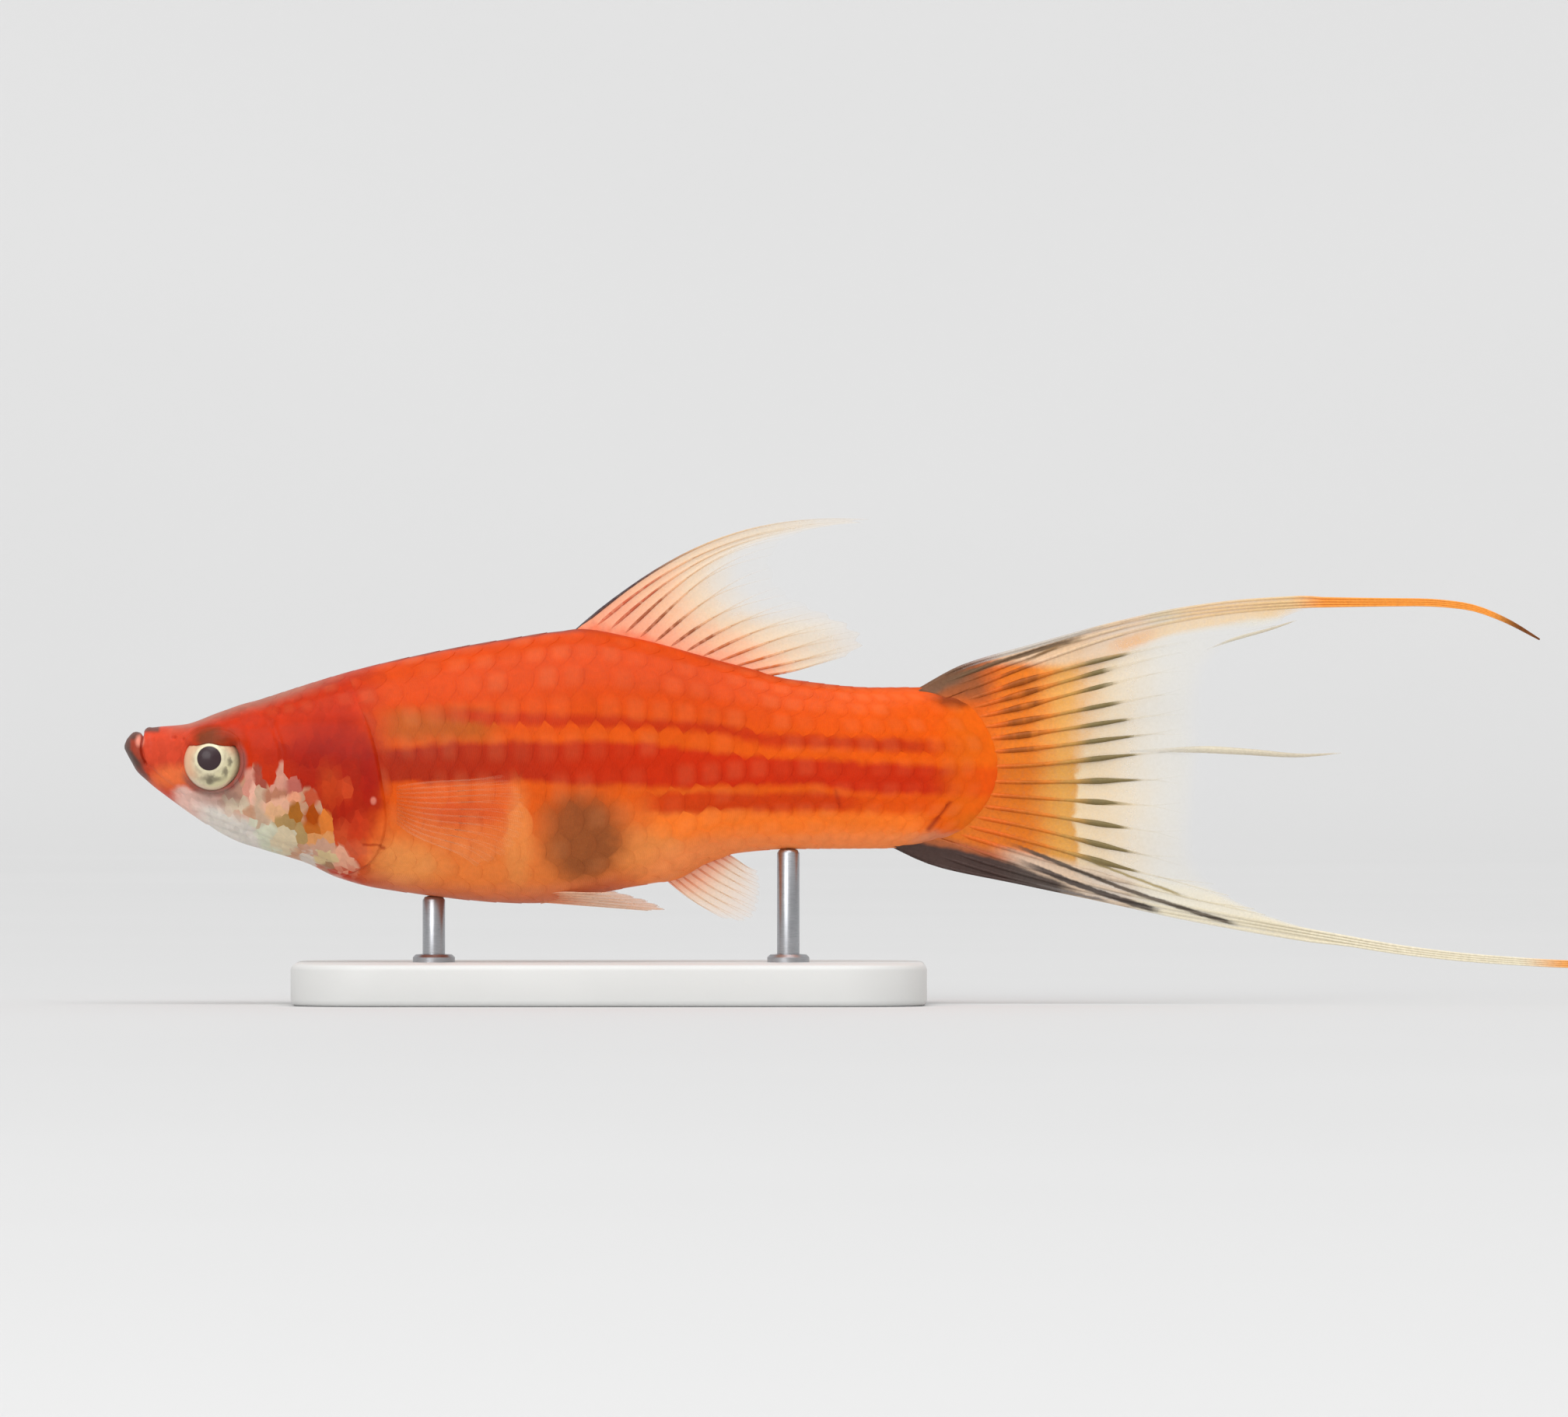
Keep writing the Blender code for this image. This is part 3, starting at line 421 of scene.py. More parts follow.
def laid(name, faces, points, maps=(), closed_by=0.0):
    """A mesh of a form's copies. points has a row for each copy, and maps are (name, values for each corner).

    Corners that lie within closed_by metres of each other become one.
    """
    copies, corners = points.shape[:2]
    mesh = bpy.data.meshes.new(name)
    numbered = [[copy * corners + i for i in face] for copy in range(copies) for face in faces]
    mesh.from_pydata(place(points).reshape(-1, 3).tolist(), [], numbered)
    at = np.empty(len(mesh.loops), int)
    mesh.loops.foreach_get("vertex_index", at)
    for map_name, values in maps:
        values = np.broadcast_to(values, (copies, corners, values.shape[-1])).reshape(copies * corners, -1)
        if values.shape[1] == 2:
            mesh.uv_layers.new(name=map_name).data.foreach_set("uv", values[at].ravel())
        else:
            kind = "FLOAT_VECTOR" if values.shape[1] == 3 else "FLOAT"
            field = "vector" if values.shape[1] == 3 else "value"
            mesh.attributes.new(map_name, kind, "POINT").data.foreach_set(field, values.ravel())
    bm = bmesh.new()
    bm.from_mesh(mesh)
    if closed_by:
        bmesh.ops.remove_doubles(bm, verts=bm.verts, dist=closed_by)
    bmesh.ops.recalc_face_normals(bm, faces=bm.faces)
    if bm.calc_volume(signed=True) < 0:
        bmesh.ops.reverse_faces(bm, faces=bm.faces)
    bm.to_mesh(mesh)
    bm.free()
    return mesh


# Material fields

class Field:
    """A number or vector that a material's nodes work out, and that adds and multiplies like a plain one."""

    def __init__(self, tree, socket):
        self.tree = tree
        self.socket = socket

    def math(self, operation, *others):
        node = self.tree.nodes.new("ShaderNodeMath")
        node.operation = operation
        for socket, value in zip(node.inputs, (self, *others)):
            put(self.tree, socket, value)
        return Field(self.tree, node.outputs[0])

    def vector_math(self, operation, *others):
        node = self.tree.nodes.new("ShaderNodeVectorMath")
        node.operation = operation
        for socket, value in zip(node.inputs, (self, *others)):
            put(self.tree, socket, value)
        return Field(self.tree, node.outputs["Value" if operation == "LENGTH" else "Vector"])

    def __add__(self, other):
        return self.math("ADD", other)

    def __sub__(self, other):
        return self.math("SUBTRACT", other)

    def __mul__(self, other):
        return self.math("MULTIPLY", other)

    def __truediv__(self, other):
        return self.math("DIVIDE", other)

    def __abs__(self):
        return self.math("ABSOLUTE")

    def flipped(self):
        return (self * -1) + 1

    def least(self, other):
        return self.math("MINIMUM", other)

    def most(self, other):
        return self.math("MAXIMUM", other)

    def between(self, low, high):
        """Rises smoothly from 0 at low to 1 at high."""
        node = self.tree.nodes.new("ShaderNodeMapRange")
        node.interpolation_type = "SMOOTHSTEP"
        put(self.tree, node.inputs["Value"], self)
        put(self.tree, node.inputs["From Min"], low)
        put(self.tree, node.inputs["From Max"], high)
        return Field(self.tree, node.outputs["Result"])

    def within(self, low, high, soft):
        """1 between two values, with soft edges."""
        rise = (self - low).between(-soft, soft)
        return rise * (self - high).between(-soft, soft).flipped()

    def follow(self, points):
        """The value of a smooth curve through (place, value) points."""
        low, high = points[0][0], points[-1][0]
        least = min(p[1] for p in points)
        span = max(max(p[1] for p in points) - least, 1e-6)
        node = self.tree.nodes.new("ShaderNodeFloatCurve")
        node.mapping.extend = "HORIZONTAL"
        line = node.mapping.curves[0]
        scaled = [((x - low) / (high - low), (v - least) / span) for x, v in points]
        line.points[0].location = scaled[0]
        line.points[1].location = scaled[-1]
        for point in scaled[1:-1]:
            line.points.new(*point)
        for point in line.points:
            point.handle_type = "AUTO_CLAMPED"
        node.mapping.update()
        put(self.tree, node.inputs["Value"], (self - low) / (high - low))
        return Field(self.tree, node.outputs["Value"]) * span + least


def put(tree, socket, value):
    """Sets a socket to a plain value, or links a field to it."""
    if isinstance(value, Field):
        tree.links.new(value.socket, socket)
    elif socket.type == "RGBA" and len(value) == 3:
        socket.default_value = (*value, 1.0)
    else:
        socket.default_value = value


def parts_of(tree, vector):
    """The three parts of a vector."""
    node = tree.nodes.new("ShaderNodeSeparateXYZ")
    put(tree, node.inputs[0], vector)
    return [Field(tree, out) for out in node.outputs]


def vector_of(tree, *parts):
    node = tree.nodes.new("ShaderNodeCombineXYZ")
    for socket, part in zip(node.inputs, parts):
        put(tree, socket, part)
    return Field(tree, node.outputs[0])


def blend(tree, under, over, share):
    """One colour or vector laid over another."""
    node = tree.nodes.new("ShaderNodeMix")
    node.data_type = "RGBA"
    put(tree, node.inputs[0], share)
    put(tree, node.inputs[6], under)
    put(tree, node.inputs[7], over)
    return Field(tree, node.outputs[2])


def noise(tree, where, size, detail=2.0, rough=0.5):
    """Cloudy noise from 0 to 1, whose lumps are about size millimetres across."""
    node = tree.nodes.new("ShaderNodeTexNoise")
    put(tree, node.inputs["Vector"], where)
    node.inputs["Scale"].default_value = 1 / (size * MM)
    node.inputs["Detail"].default_value = detail
    node.inputs["Roughness"].default_value = rough
    return Field(tree, node.outputs["Fac"])


def cells(tree, where, size):
    """The node of a pattern of cells, which are about size millimetres across."""
    node = tree.nodes.new("ShaderNodeTexVoronoi")
    put(tree, node.inputs["Vector"], where)
    node.inputs["Scale"].default_value = 1 / (size * MM)
    return node


SHINE = 0.01  # how much light the gloss adds, which the colours leave out


def paint(red, green, blue):
    """A colour from the usual 0 to 255 numbers, as linear light without the gloss."""
    return tuple(max(0.0, ((c / 255 + 0.055) / 1.055) ** 2.4 - SHINE) for c in (red, green, blue))


def group(name, inputs, outputs, fill):
    """A shader node group. fill(tree, fields of the inputs) returns the outputs' fields."""
    tree = bpy.data.node_groups.new(name, "ShaderNodeTree")
    for socket_name, kind in inputs:
        tree.interface.new_socket(socket_name, in_out="INPUT", socket_type=kind)
    for socket_name, kind in outputs:
        tree.interface.new_socket(socket_name, in_out="OUTPUT", socket_type=kind)
    start = tree.nodes.new("NodeGroupInput")
    end = tree.nodes.new("NodeGroupOutput")
    made = fill(tree, *[Field(tree, start.outputs[socket_name]) for socket_name, _ in inputs])
    for field, (socket_name, _) in zip(made, outputs):
        put(tree, end.inputs[socket_name], field)
    return tree


def use_group(tree, made, *values):
    """Places a group in a material and returns its outputs' fields."""
    node = tree.nodes.new("ShaderNodeGroup")
    node.node_tree = made
    for socket, value in zip(node.inputs, values):
        put(tree, socket, value)
    return [Field(tree, out) for out in node.outputs]


def material(name, **settings):
    """(material, tree, shader), with plain values set on the shader."""
    made = bpy.data.materials.new(name)
    made.use_nodes = True
    tree = made.node_tree
    shader = tree.nodes["Principled BSDF"]
    for socket_name, value in settings.items():
        put(tree, shader.inputs[socket_name.replace("_", " ")], value)
    return made, tree, shader


def object_place(tree):
    return Field(tree, tree.nodes.new("ShaderNodeTexCoord").outputs["Object"])


def own_map(tree, name):
    node = tree.nodes.new("ShaderNodeUVMap")
    node.uv_map = name
    return parts_of(tree, Field(tree, node.outputs[0]))[:2]


def own_attribute(tree, name, output="Fac"):
    node = tree.nodes.new("ShaderNodeAttribute")
    node.attribute_name = name
    return Field(tree, node.outputs[output])


def bump(tree, shader, height, strength, distance):
    node = tree.nodes.new("ShaderNodeBump")
    node.inputs["Strength"].default_value = strength
    node.inputs["Distance"].default_value = distance * MM
    put(tree, node.inputs["Height"], height)
    tree.links.new(node.outputs[0], shader.inputs["Normal"])


# The fish's colours

BACK_RED = paint(214, 72, 18)
FRONT_RED = paint(188, 50, 26)
TAIL_ORANGE = paint(238, 92, 20)
FLANK = paint(222, 88, 28)
BELLY = paint(238, 128, 62)
BELLY_EDGE = paint(214, 116, 84)
OLIVE = paint(172, 88, 34)
STRIPE = paint(192, 52, 10)
BAND_FRONT = paint(166, 46, 12)
BAND_REAR = paint(200, 50, 10)
LOWER_STRIPE = paint(206, 62, 18)
LIGHT_BAND = paint(255, 124, 46)
GRAVID = paint(138, 78, 46)
STRAW = paint(238, 152, 84)
BACK_EDGE = paint(112, 58, 50)
CHEEK_RED = paint(162, 38, 16)
SNOUT = paint(206, 74, 50)
THROAT = paint(216, 208, 198)
THROAT_PINK = paint(232, 188, 174)
LIP_GREY = paint(88, 70, 64)
# Pink, used also as a painted highlight on the top of the lower lip
PINK_AND_LIP_HIGHLIGHT = paint(230, 146, 126)
# Painted shade in the mouth's cleft between the lips
GAPE_SHADE = paint(134, 40, 28)
EYE_SMUDGE = paint(112, 62, 40)
# Painted shade: a darker ring below and behind the eye
EYE_RING_SHADE = paint(138, 88, 80)
DARK_FLECK = paint(96, 48, 30)
LIP_BROWN = paint(154, 70, 54)
CROWN_GREY = paint(172, 112, 94)
CHEEK_ORANGE = paint(244, 128, 72)
SILVER_TAN = paint(196, 150, 120)
PATCH_BROWN = paint(156, 46, 20)
STALK_ORANGE = paint(228, 106, 30)
STALK_END = paint(244, 122, 30)
STALK_RED = paint(230, 82, 20)
STALK_OCHRE = paint(216, 112, 34)
# Painted light: a brighter orange for the tail stalk's underside, as if lit from below
STALK_UNDERSIDE_PAINTED_LIGHT = paint(255, 146, 84)
DUSKY_PINK = paint(196, 134, 104)
# Painted shade: the darker colour of that ring further below the eye
SHADE_BELOW_EYE = paint(136, 110, 100)

# The back and the belly as the markings follow them, plainer than the skin's own lines
MARKED_BACK = [
    (0, 1.0), (2, 2.2), (6.6, 3.2), (17.7, 6.7), (26.5, 8.5), (32.4, 9.2), (43.4, 6.7), (50, 5.4),
    (63, 5.3),
]
MARKED_BELLY = [
    (0, 0.7), (2.75, -2.5), (7.2, -5.5), (15.2, -8.6), (28.7, -10.4), (36, -9.25), (43.6, -6.9), (63, -6.5),
]

FLAKE_SQUEEZE = 0.5  # flakes are this much narrower than tall

# The patches of the cheek, as (middle), (radii) and colour, each laid over those before it
RED_PATCHES = [
    ((13.6, 0.3), (3.2, 0.9), paint(158, 34, 20)),
    ((17.6, -1.2), (0.8, 2.4), paint(156, 28, 14)),
    ((14.7, -2.0), (0.8, 1.6), paint(190, 72, 34)),
    ((15.9, -2.3), (0.5, 0.8), paint(204, 80, 42)),
    ((16.7, -4.9), (0.9, 1.0), paint(204, 66, 38)),
    ((15.5, -5.6), (0.6, 0.9), paint(214, 92, 52)),
    ((16.5, -6.7), (1.1, 0.6), paint(214, 104, 70)),
]
FLAKE_PATCHES = [
    ((10.2, -5.6), (2.2, 1.6), paint(208, 210, 186)),
    ((8.1, -3.2), (1.0, 0.6), paint(208, 190, 164)),
    ((8.3, -2.3), (0.9, 0.7), paint(184, 144, 124)),
    ((9.0, -1.8), (0.45, 1.6), paint(212, 148, 130)),
    ((9.2, -2.6), (0.2, 0.9), paint(232, 180, 158)),
    ((9.8, -1.2), (0.45, 1.2), paint(160, 80, 66)),
    ((9.9, -3.5), (0.65, 1.4), paint(202, 174, 148)),
    ((11.1, -1.4), (0.7, 1.3), paint(206, 148, 128)),
    ((10.9, -2.6), (0.9, 0.5), paint(180, 124, 98)),
    ((12.2, -2.1), (0.65, 0.8), paint(186, 104, 92)),
    ((13.4, -2.8), (0.6, 0.6), paint(190, 86, 58)),
    ((11.2, -3.3), (1.3, 0.6), paint(226, 174, 146)),
    ((12.2, -2.9), (0.45, 0.4), paint(230, 158, 124)),
    ((11.0, -3.9), (0.9, 0.5), paint(222, 174, 132)),
    ((12.2, -4.2), (0.55, 1.0), paint(168, 106, 44)),
    ((11.4, -4.7), (0.9, 0.5), paint(174, 144, 94)),
    ((13.3, -5.2), (0.9, 0.8), paint(194, 108, 44)),
    ((13.5, -4.1), (0.65, 0.8), paint(174, 78, 18)),
    ((14.5, -4.6), (0.5, 1.2), paint(220, 126, 56)),
    ((11.3, -5.9), (1.0, 0.85), paint(212, 198, 166)),
    ((12.6, -5.4), (0.4, 0.9), paint(178, 150, 100)),
    ((14.0, -5.7), (1.0, 0.5), paint(222, 156, 98)),
    ((13.9, -6.4), (1.2, 0.5), paint(200, 158, 134)),
    ((13.2, -7.2), (0.8, 0.6), paint(212, 200, 186)),
    ((15.7, -7.5), (1.1, 1.4), paint(224, 166, 138)),
    ((14.4, -7.1), (0.8, 0.5), paint(208, 186, 142)),
    ((14.5, -7.9), (0.6, 0.5), paint(158, 128, 98)),
    ((15.4, -8.7), (2.2, 0.35), paint(158, 102, 88)),
]


def spot(at, middle, radii, soft):
    """An oval spot in the side view, with a soft edge. at is the place (x, z, 0)."""
    away = at.vector_math("SUBTRACT", (*middle, 0.0))
    away = away.vector_math("MULTIPLY", (1 / radii[0], 1 / radii[1], 0.0)).vector_math("LENGTH")
    return away.between(1 + soft, 1 - soft)


def stroke(x, z, start, end, width, soft):
    """A straight stroke in the side view."""
    ux, uz = end[0] - start[0], end[1] - start[1]
    share = ((x - start[0]) * ux + (z - start[1]) * uz) / (ux * ux + uz * uz)
    share = share.most(0.0).least(1.0)
    dx, dz = x - start[0] - share * ux, z - start[1] - share * uz
    away = (dx * dx + dz * dz).math("SQRT")
    return (away - width).between(-soft, soft).flipped()


class Skin:
    """The places on the skin that its markings go by, alike on both sides, and its colour so far."""

    def __init__(self, tree, where):
        px, py, pz = parts_of(tree, where)
        true_x = px / MM + TOTAL_LENGTH / 2
        true_z = pz / MM - AXIS_HEIGHT
        swing = (true_x - SWAY_START).most(0.0) / (TOTAL_LENGTH - SWAY_START)
        self.y = abs(py / MM - swing * swing * SWAY)
        self.tree, self.true_x, self.true_z, self.colour = tree, true_x, true_z, FLANK
        # The markings' edges wander a little
        self.mirrored = vector_of(tree, px, self.y * MM, pz)
        shifted = vector_of(tree, px + 0.05, self.y * MM, pz)
        self.fine, self.coarse = noise(tree, self.mirrored, 0.9, 3.0), noise(tree, self.mirrored, 4.0, 2.0)
        fine_up, self.coarse_up = noise(tree, shifted, 0.9, 3.0), noise(tree, shifted, 4.0, 2.0)
        self.x = true_x + (self.fine - 0.5) * 0.9 + (self.coarse - 0.5) * 1.2
        self.z = true_z + (fine_up - 0.5) * 0.5 + (self.coarse_up - 0.5) * 0.6
        self.at, self.true_at = vector_of(tree, self.x, self.z, 0.0), vector_of(tree, true_x, true_z, 0.0)
        self.back, self.belly = true_x.follow(MARKED_BACK), true_x.follow(MARKED_BELLY)
        self.height = (self.z - self.belly) / (self.back - self.belly)
        # The cheek's patches follow the facets of a mosaic, whose tones differ
        facets = cells(tree, vector_of(tree, px, self.y * MM, pz * FLAKE_SQUEEZE), 0.5)
        facet_x, _, facet_z = parts_of(tree, Field(tree, facets.outputs["Position"]))
        facet_z = facet_z / (FLAKE_SQUEEZE * MM) - AXIS_HEIGHT
        facet = vector_of(tree, facet_x / MM + TOTAL_LENGTH / 2, facet_z, 0.0)
        bent_at = vector_of(tree, true_x + (self.fine - 0.5) * 0.5, true_z + (fine_up - 0.5) * 0.5, 0.0)
        self.facet = blend(tree, bent_at, facet, 0.55)
        self.tone = parts_of(tree, Field(tree, facets.outputs["Color"]))[0]

    def over(self, new, share):
        """Lays one more colour over those before it."""
        self.colour = blend(self.tree, self.colour, new, share)


def body_marks(skin):
    """The body: red back, orange flank and tail, pale belly, and the stripes and bands along the side."""
    x, z, true_x, height = skin.x, skin.z, skin.true_x, skin.height
    skin.over(BACK_RED, height.between(0.5, 0.8))
    skin.over(TAIL_ORANGE, x.between(40, 58) * 0.85)
    skin.over(BELLY, height.between(0.42, 0.12) * x.between(48, 38))
    skin.over(LIGHT_BAND, z.within(-5.7, -3.9, 0.4) * x.within(37.5, 57, 1.2) * 0.9)
    skin.over(OLIVE, z.within(1.2, 3.4, 0.7) * x.within(18.6, 26.5, 1.6) * 0.75)
    upper = true_x.follow([(22, 3.1), (27, 2.95), (34, 2.7), (41.5, 2.15), (46, 1.4), (52, 1.05), (60, 0.7)])
    skin.over(STRIPE, (z - upper).within(-0.4, 0.4, 0.32) * x.within(23, 58, 2.5) * 0.9)
    top = true_x.follow([
        (17, 0.3), (21, 0.85), (25, 1.1), (34, 1.1), (41, 0.6), (48, -0.1), (57, -0.6), (63, -0.9),
    ])
    low = true_x.follow([(17, -1.6), (25, -1.7), (34, -1.9), (48, -2.0), (57, -2.5), (63, -2.4)])
    band_colour = blend(skin.tree, BAND_FRONT, BAND_REAR, true_x.between(20, 40))
    band = (z - top).between(-0.25, 0.35).flipped() * (z - low).between(-0.3, 0.3)
    band = band * x.between(17.3, 19.2) * x.follow([(17, 1.0), (55, 1.0), (59, 0.85), (63, 0.6)])
    skin.over(band_colour, band)
    skin.over(LOWER_STRIPE, z.within(-3.7, -2.5, 0.25) * x.within(37.5, 52, 1.5) * 0.95)
    skin.over(LOWER_STRIPE, z.within(-3.7, -2.6, 0.35) * x.within(50, 58, 1.5) * 0.35)
    skin.over(STALK_ORANGE, x.between(57.0, 60.0) * 0.65)
    skin.over(STALK_END, x.between(61.0, 63.5) * z.between(-1.0, 1.0))
    skin.over(STALK_RED, z.within(-2.6, -0.6, 0.5) * x.between(58.0, 60.5) * 0.7)
    skin.over(STALK_OCHRE, z.between(-3.6, -4.6) * x.between(58.5, 60.5) * 0.7)


def belly_marks(skin):
    """The belly: straw patches, the dark spot of a carrying female, the pale lower edge, and painted light
    from below on the tail stalk's underside.
    """
    x, at, height, coarse = skin.x, skin.at, skin.height, skin.coarse
    skin.over(LOWER_STRIPE, spot(at, (24.4, -3.9), (2.6, 0.9), 0.4) * 0.5)
    skin.over(STRAW, spot(at, (19.8, -7.5), (2.6, 1.5), 0.5) * 0.7)
    skin.over(STRAW, spot(at, (28.1, -5.8), (0.9, 3.6), 0.5) * 0.5)
    skin.over(STRAW, spot(at, (37.5, -6.8), (2.4, 1.6), 0.6) * 0.5)
    skin.over(GRAVID, spot(at, (32.6, -5.6), (2.9, 3.1), 0.42) * (coarse * 0.5 + 0.62))
    skin.over(BELLY_EDGE, height.between(0.1, 0.0) * x.within(17, 36, 2.0) * 0.9)
    # Painted light from below: the tail stalk's underside is made brighter
    skin.over(STALK_UNDERSIDE_PAINTED_LIGHT, height.between(0.17, 0.04) * x.within(37, 57, 1.5) * 0.85)


def back_marks(skin):
    """The back's thin dark edge and the dark flecks before the tail."""
    x, y, true_x, true_z, at, back = skin.x, skin.y, skin.true_x, skin.true_z, skin.at, skin.back
    edge = (back - true_z).between(0.75, 0.2) * y.between(1.5, 0.3)
    skin.over(BACK_EDGE, edge * x.between(13.0, 20.0) * x.between(35.0, 31.0) * 0.75)
    skin.over(BACK_EDGE, edge * x.within(33, 60, 2.0) * 0.35)
    skin.over(DARK_FLECK, spot(at, (59.0, 4.4), (1.5, 0.7), 0.6) * 0.75)
    skin.over(PATCH_BROWN, stroke(true_x, true_z, (58.7, -3.1), (57.2, -5.0), 0.14, 0.16) * 0.8)
    skin.over(PATCH_BROWN, stroke(true_x, true_z, (50.6, -2.3), (50.9, -3.4), 0.12, 0.15) * 0.5)
    skin.over(DUSKY_PINK, spot(at, (58.4, -5.8), (2.4, 0.6), 0.6) * 0.7)
    skin.over(BACK_EDGE, spot(at, (57.2, -6.6), (2.2, 0.5), 0.6) * 0.7)


def head_marks(skin):
    """The head: red above, with patches of deep red and orange on the cheek."""
    x, z, true_x, at, facet = skin.x, skin.z, skin.true_x, skin.at, skin.facet
    skin.over(FRONT_RED, x.between(19.5, 15.5) * 0.95)
    skin.over(CHEEK_RED, spot(at, (15.2, -1.6), (3.4, 4.4), 0.35) * 0.85)
    for middle, radii, new in RED_PATCHES:
        skin.over(new, spot(facet, middle, radii, 0.55) * 0.6)
    skin.over(PATCH_BROWN, stroke(true_x, z, (17.1, -6.1), (18.5, -6.3), 0.1, 0.12) * 0.7)
    skin.over(SNOUT, x.between(6.0, 4.0))


def throat_marks(skin):
    """The grey crown, and the pale throat under the cheek."""
    x, y, z, true_x, true_z, at, back = skin.x, skin.y, skin.z, skin.true_x, skin.true_z, skin.at, skin.back
    dome = (back - true_z).between(1.3, 0.1) * y.between(3.6, 1.8)
    dome = dome * x.between(2.5, 5.0) * x.between(17.5, 11.0)
    skin.over(CROWN_GREY, dome * 0.8)
    skin.over(CHEEK_ORANGE, spot(at, (3.6, -1.35), (1.8, 0.8), 0.6) * 0.7)
    chin = true_x.follow([
        (0, -2.4), (3.0, -2.4), (4.0, -2.15), (5.6, -2.45), (7.5, -2.8), (9.3, -4.2), (12, -6.9),
        (16.5, -9.0), (20, -10.8),
    ])
    skin.over(THROAT_PINK, (z - chin).between(0.3, -0.25) * x.between(3.0, 4.1))
    skin.over(THROAT, (z - chin).between(-0.2, -1.1) * x.between(4.2, 6.4) * x.between(17.5, 15.5))


def flake_marks(skin):
    """The cheek's flakes, below a ragged crest. Returns where they lie."""
    facet, true_at = skin.facet, skin.true_at
    facet_x, facet_z, _ = parts_of(skin.tree, facet)
    crest = facet_x.follow([
        (6.6, -2.7), (7.4, -2.2), (8.4, -1.5), (8.8, -0.7), (9.3, -0.6), (9.9, -0.8), (10.3, -1.8),
        (10.9, -1.0), (11.3, -0.4), (11.65, -1.3), (12.4, -1.5), (12.9, -2.2), (13.5, -2.2), (14.0, -2.9),
        (14.3, -3.5), (14.9, -4.0), (15.1, -5.8), (15.9, -6.6), (16.5, -7.3), (17.2, -9.3),
    ])
    front = facet_x.follow([(6.6, -2.6), (7.4, -3.3), (8.8, -4.0), (9.4, -5.0), (10.0, -7.5)])
    flaked = (crest - facet_z).between(-0.12, 0.12) * (facet_z - front).between(-0.9, 0.1)
    flaked = flaked * facet_x.between(6.6, 7.3)
    tint = SILVER_TAN
    for middle, radii, new in FLAKE_PATCHES:
        tint = blend(skin.tree, tint, new, spot(facet, middle, radii, 0.16))
    skin.over(tint, flaked * 0.95)
    skin.over(PINK_AND_LIP_HIGHLIGHT, spot(true_at, (17.8, -3.0), (0.2, 0.26), 0.5) * 0.6)
    return flaked


def eye_marks(skin):
    """The smudges round the eye, and painted shade in a ring below and behind it."""
    y, true_x, true_z, at = skin.y, skin.true_x, skin.true_z, skin.at
    ex, ez = true_x - EYE[0], true_z - EYE[2]
    away = (ex * ex + ez * ez).math("SQRT")
    beside = y.between(1.2, 2.0)
    skin.over(EYE_SMUDGE, spot(at, (6.6, 1.4), (1.7, 0.8), 0.5) * 0.45)
    skin.over(EYE_SMUDGE, spot(at, (6.2, 1.35), (0.9, 0.8), 0.6) * 0.8)
    # Painted shade: a darker ring under and behind the eye, and a darker patch beneath it
    ring_shade = away.within(1.9, 2.45, 0.18) * (ex * 0.5 - ez).between(-0.9, 0.8)
    shade = blend(skin.tree, EYE_RING_SHADE, SHADE_BELOW_EYE, (ez + abs(ex) * 0.6).between(-0.8, -1.8))
    skin.over(shade, ring_shade * beside * 0.8)
    skin.over(shade, spot(at, (6.7, -2.75), (1.5, 0.55), 0.6) * beside * 0.55)


def lip_marks(skin):
    """The lips, with a painted highlight on the lower one, and painted shade in the mouth's cleft between
    them.
    """
    true_x, true_z, true_at, belly = skin.true_x, skin.true_z, skin.true_at, skin.belly
    front = true_x.most(0.0)
    mouth_x = true_z.follow([(-2.6, 3.6), (-1.35, 2.6), (-0.35, 1.55), (0.7, 1.22), (1.7, 1.33), (2.9, 1.3)])
    ahead = front - mouth_x
    jaw_edge = (true_z - belly).between(0.55, 0.15) * true_x.between(2.3, 1.4)
    lip = ahead.between(0.05, -0.12) * true_z.between(-1.0, -0.2)
    skin.over(LIP_BROWN, lip * 0.9)
    outer = (true_z - belly).between(0.75, 0.3).most(true_z.between(1.15, 1.5))
    outer = outer.most(true_x.between(0.6, 0.35))
    skin.over(LIP_GREY, lip * outer * 0.85)
    skin.over(LIP_GREY, jaw_edge * 0.8)
    # A painted highlight on the top of the lower lip
    skin.over(PINK_AND_LIP_HIGHLIGHT, spot(true_at, (1.15, 1.25), (0.3, 0.42), 0.5) * 0.9)
    upper_lip = ahead.within(0.0, 1.2, 0.15) * true_z.between(1.7, 2.05)
    skin.over(LIP_GREY, upper_lip * 0.85)
    # Painted shade: a darker line in the cleft of the mouth
    gape_shade = abs(ahead).between(0.14, 0.04) * true_z.between(-0.6, 0.0) * true_z.between(1.75, 1.5)
    skin.over(GAPE_SHADE, gape_shade * 0.8)


def fill_markings(tree, where):
    """The whole skin's colour, roughness and metallic share, from the place alone."""
    skin = Skin(tree, where)
    for lay_marks in (body_marks, belly_marks, back_marks, head_marks, throat_marks):
        lay_marks(skin)
    flaked = flake_marks(skin)
    eye_marks(skin)
    lip_marks(skin)
    # Soft mottling all over
    speckle = noise(tree, skin.mirrored, 0.35, 3.0, 0.6)
    mottle = (skin.tone - 0.5) * skin.true_x.between(18.5, 17) * 0.14 + (speckle - 0.5) * 0.24
    mottle = mottle + (skin.fine - 0.5) * 0.22 + (skin.coarse_up - 0.5) * 0.2
    lit = tree.nodes.new("ShaderNodeHueSaturation")
    put(tree, lit.inputs["Color"], skin.colour)
    put(tree, lit.inputs["Value"], mottle + 1.0)
    shine = flaked * skin.tone.between(0.3, 0.8) * 0.4
    rough = (speckle * 0.16 + 0.34) - shine * 0.12
    return Field(tree, lit.outputs[0]), rough, shine * 0.45


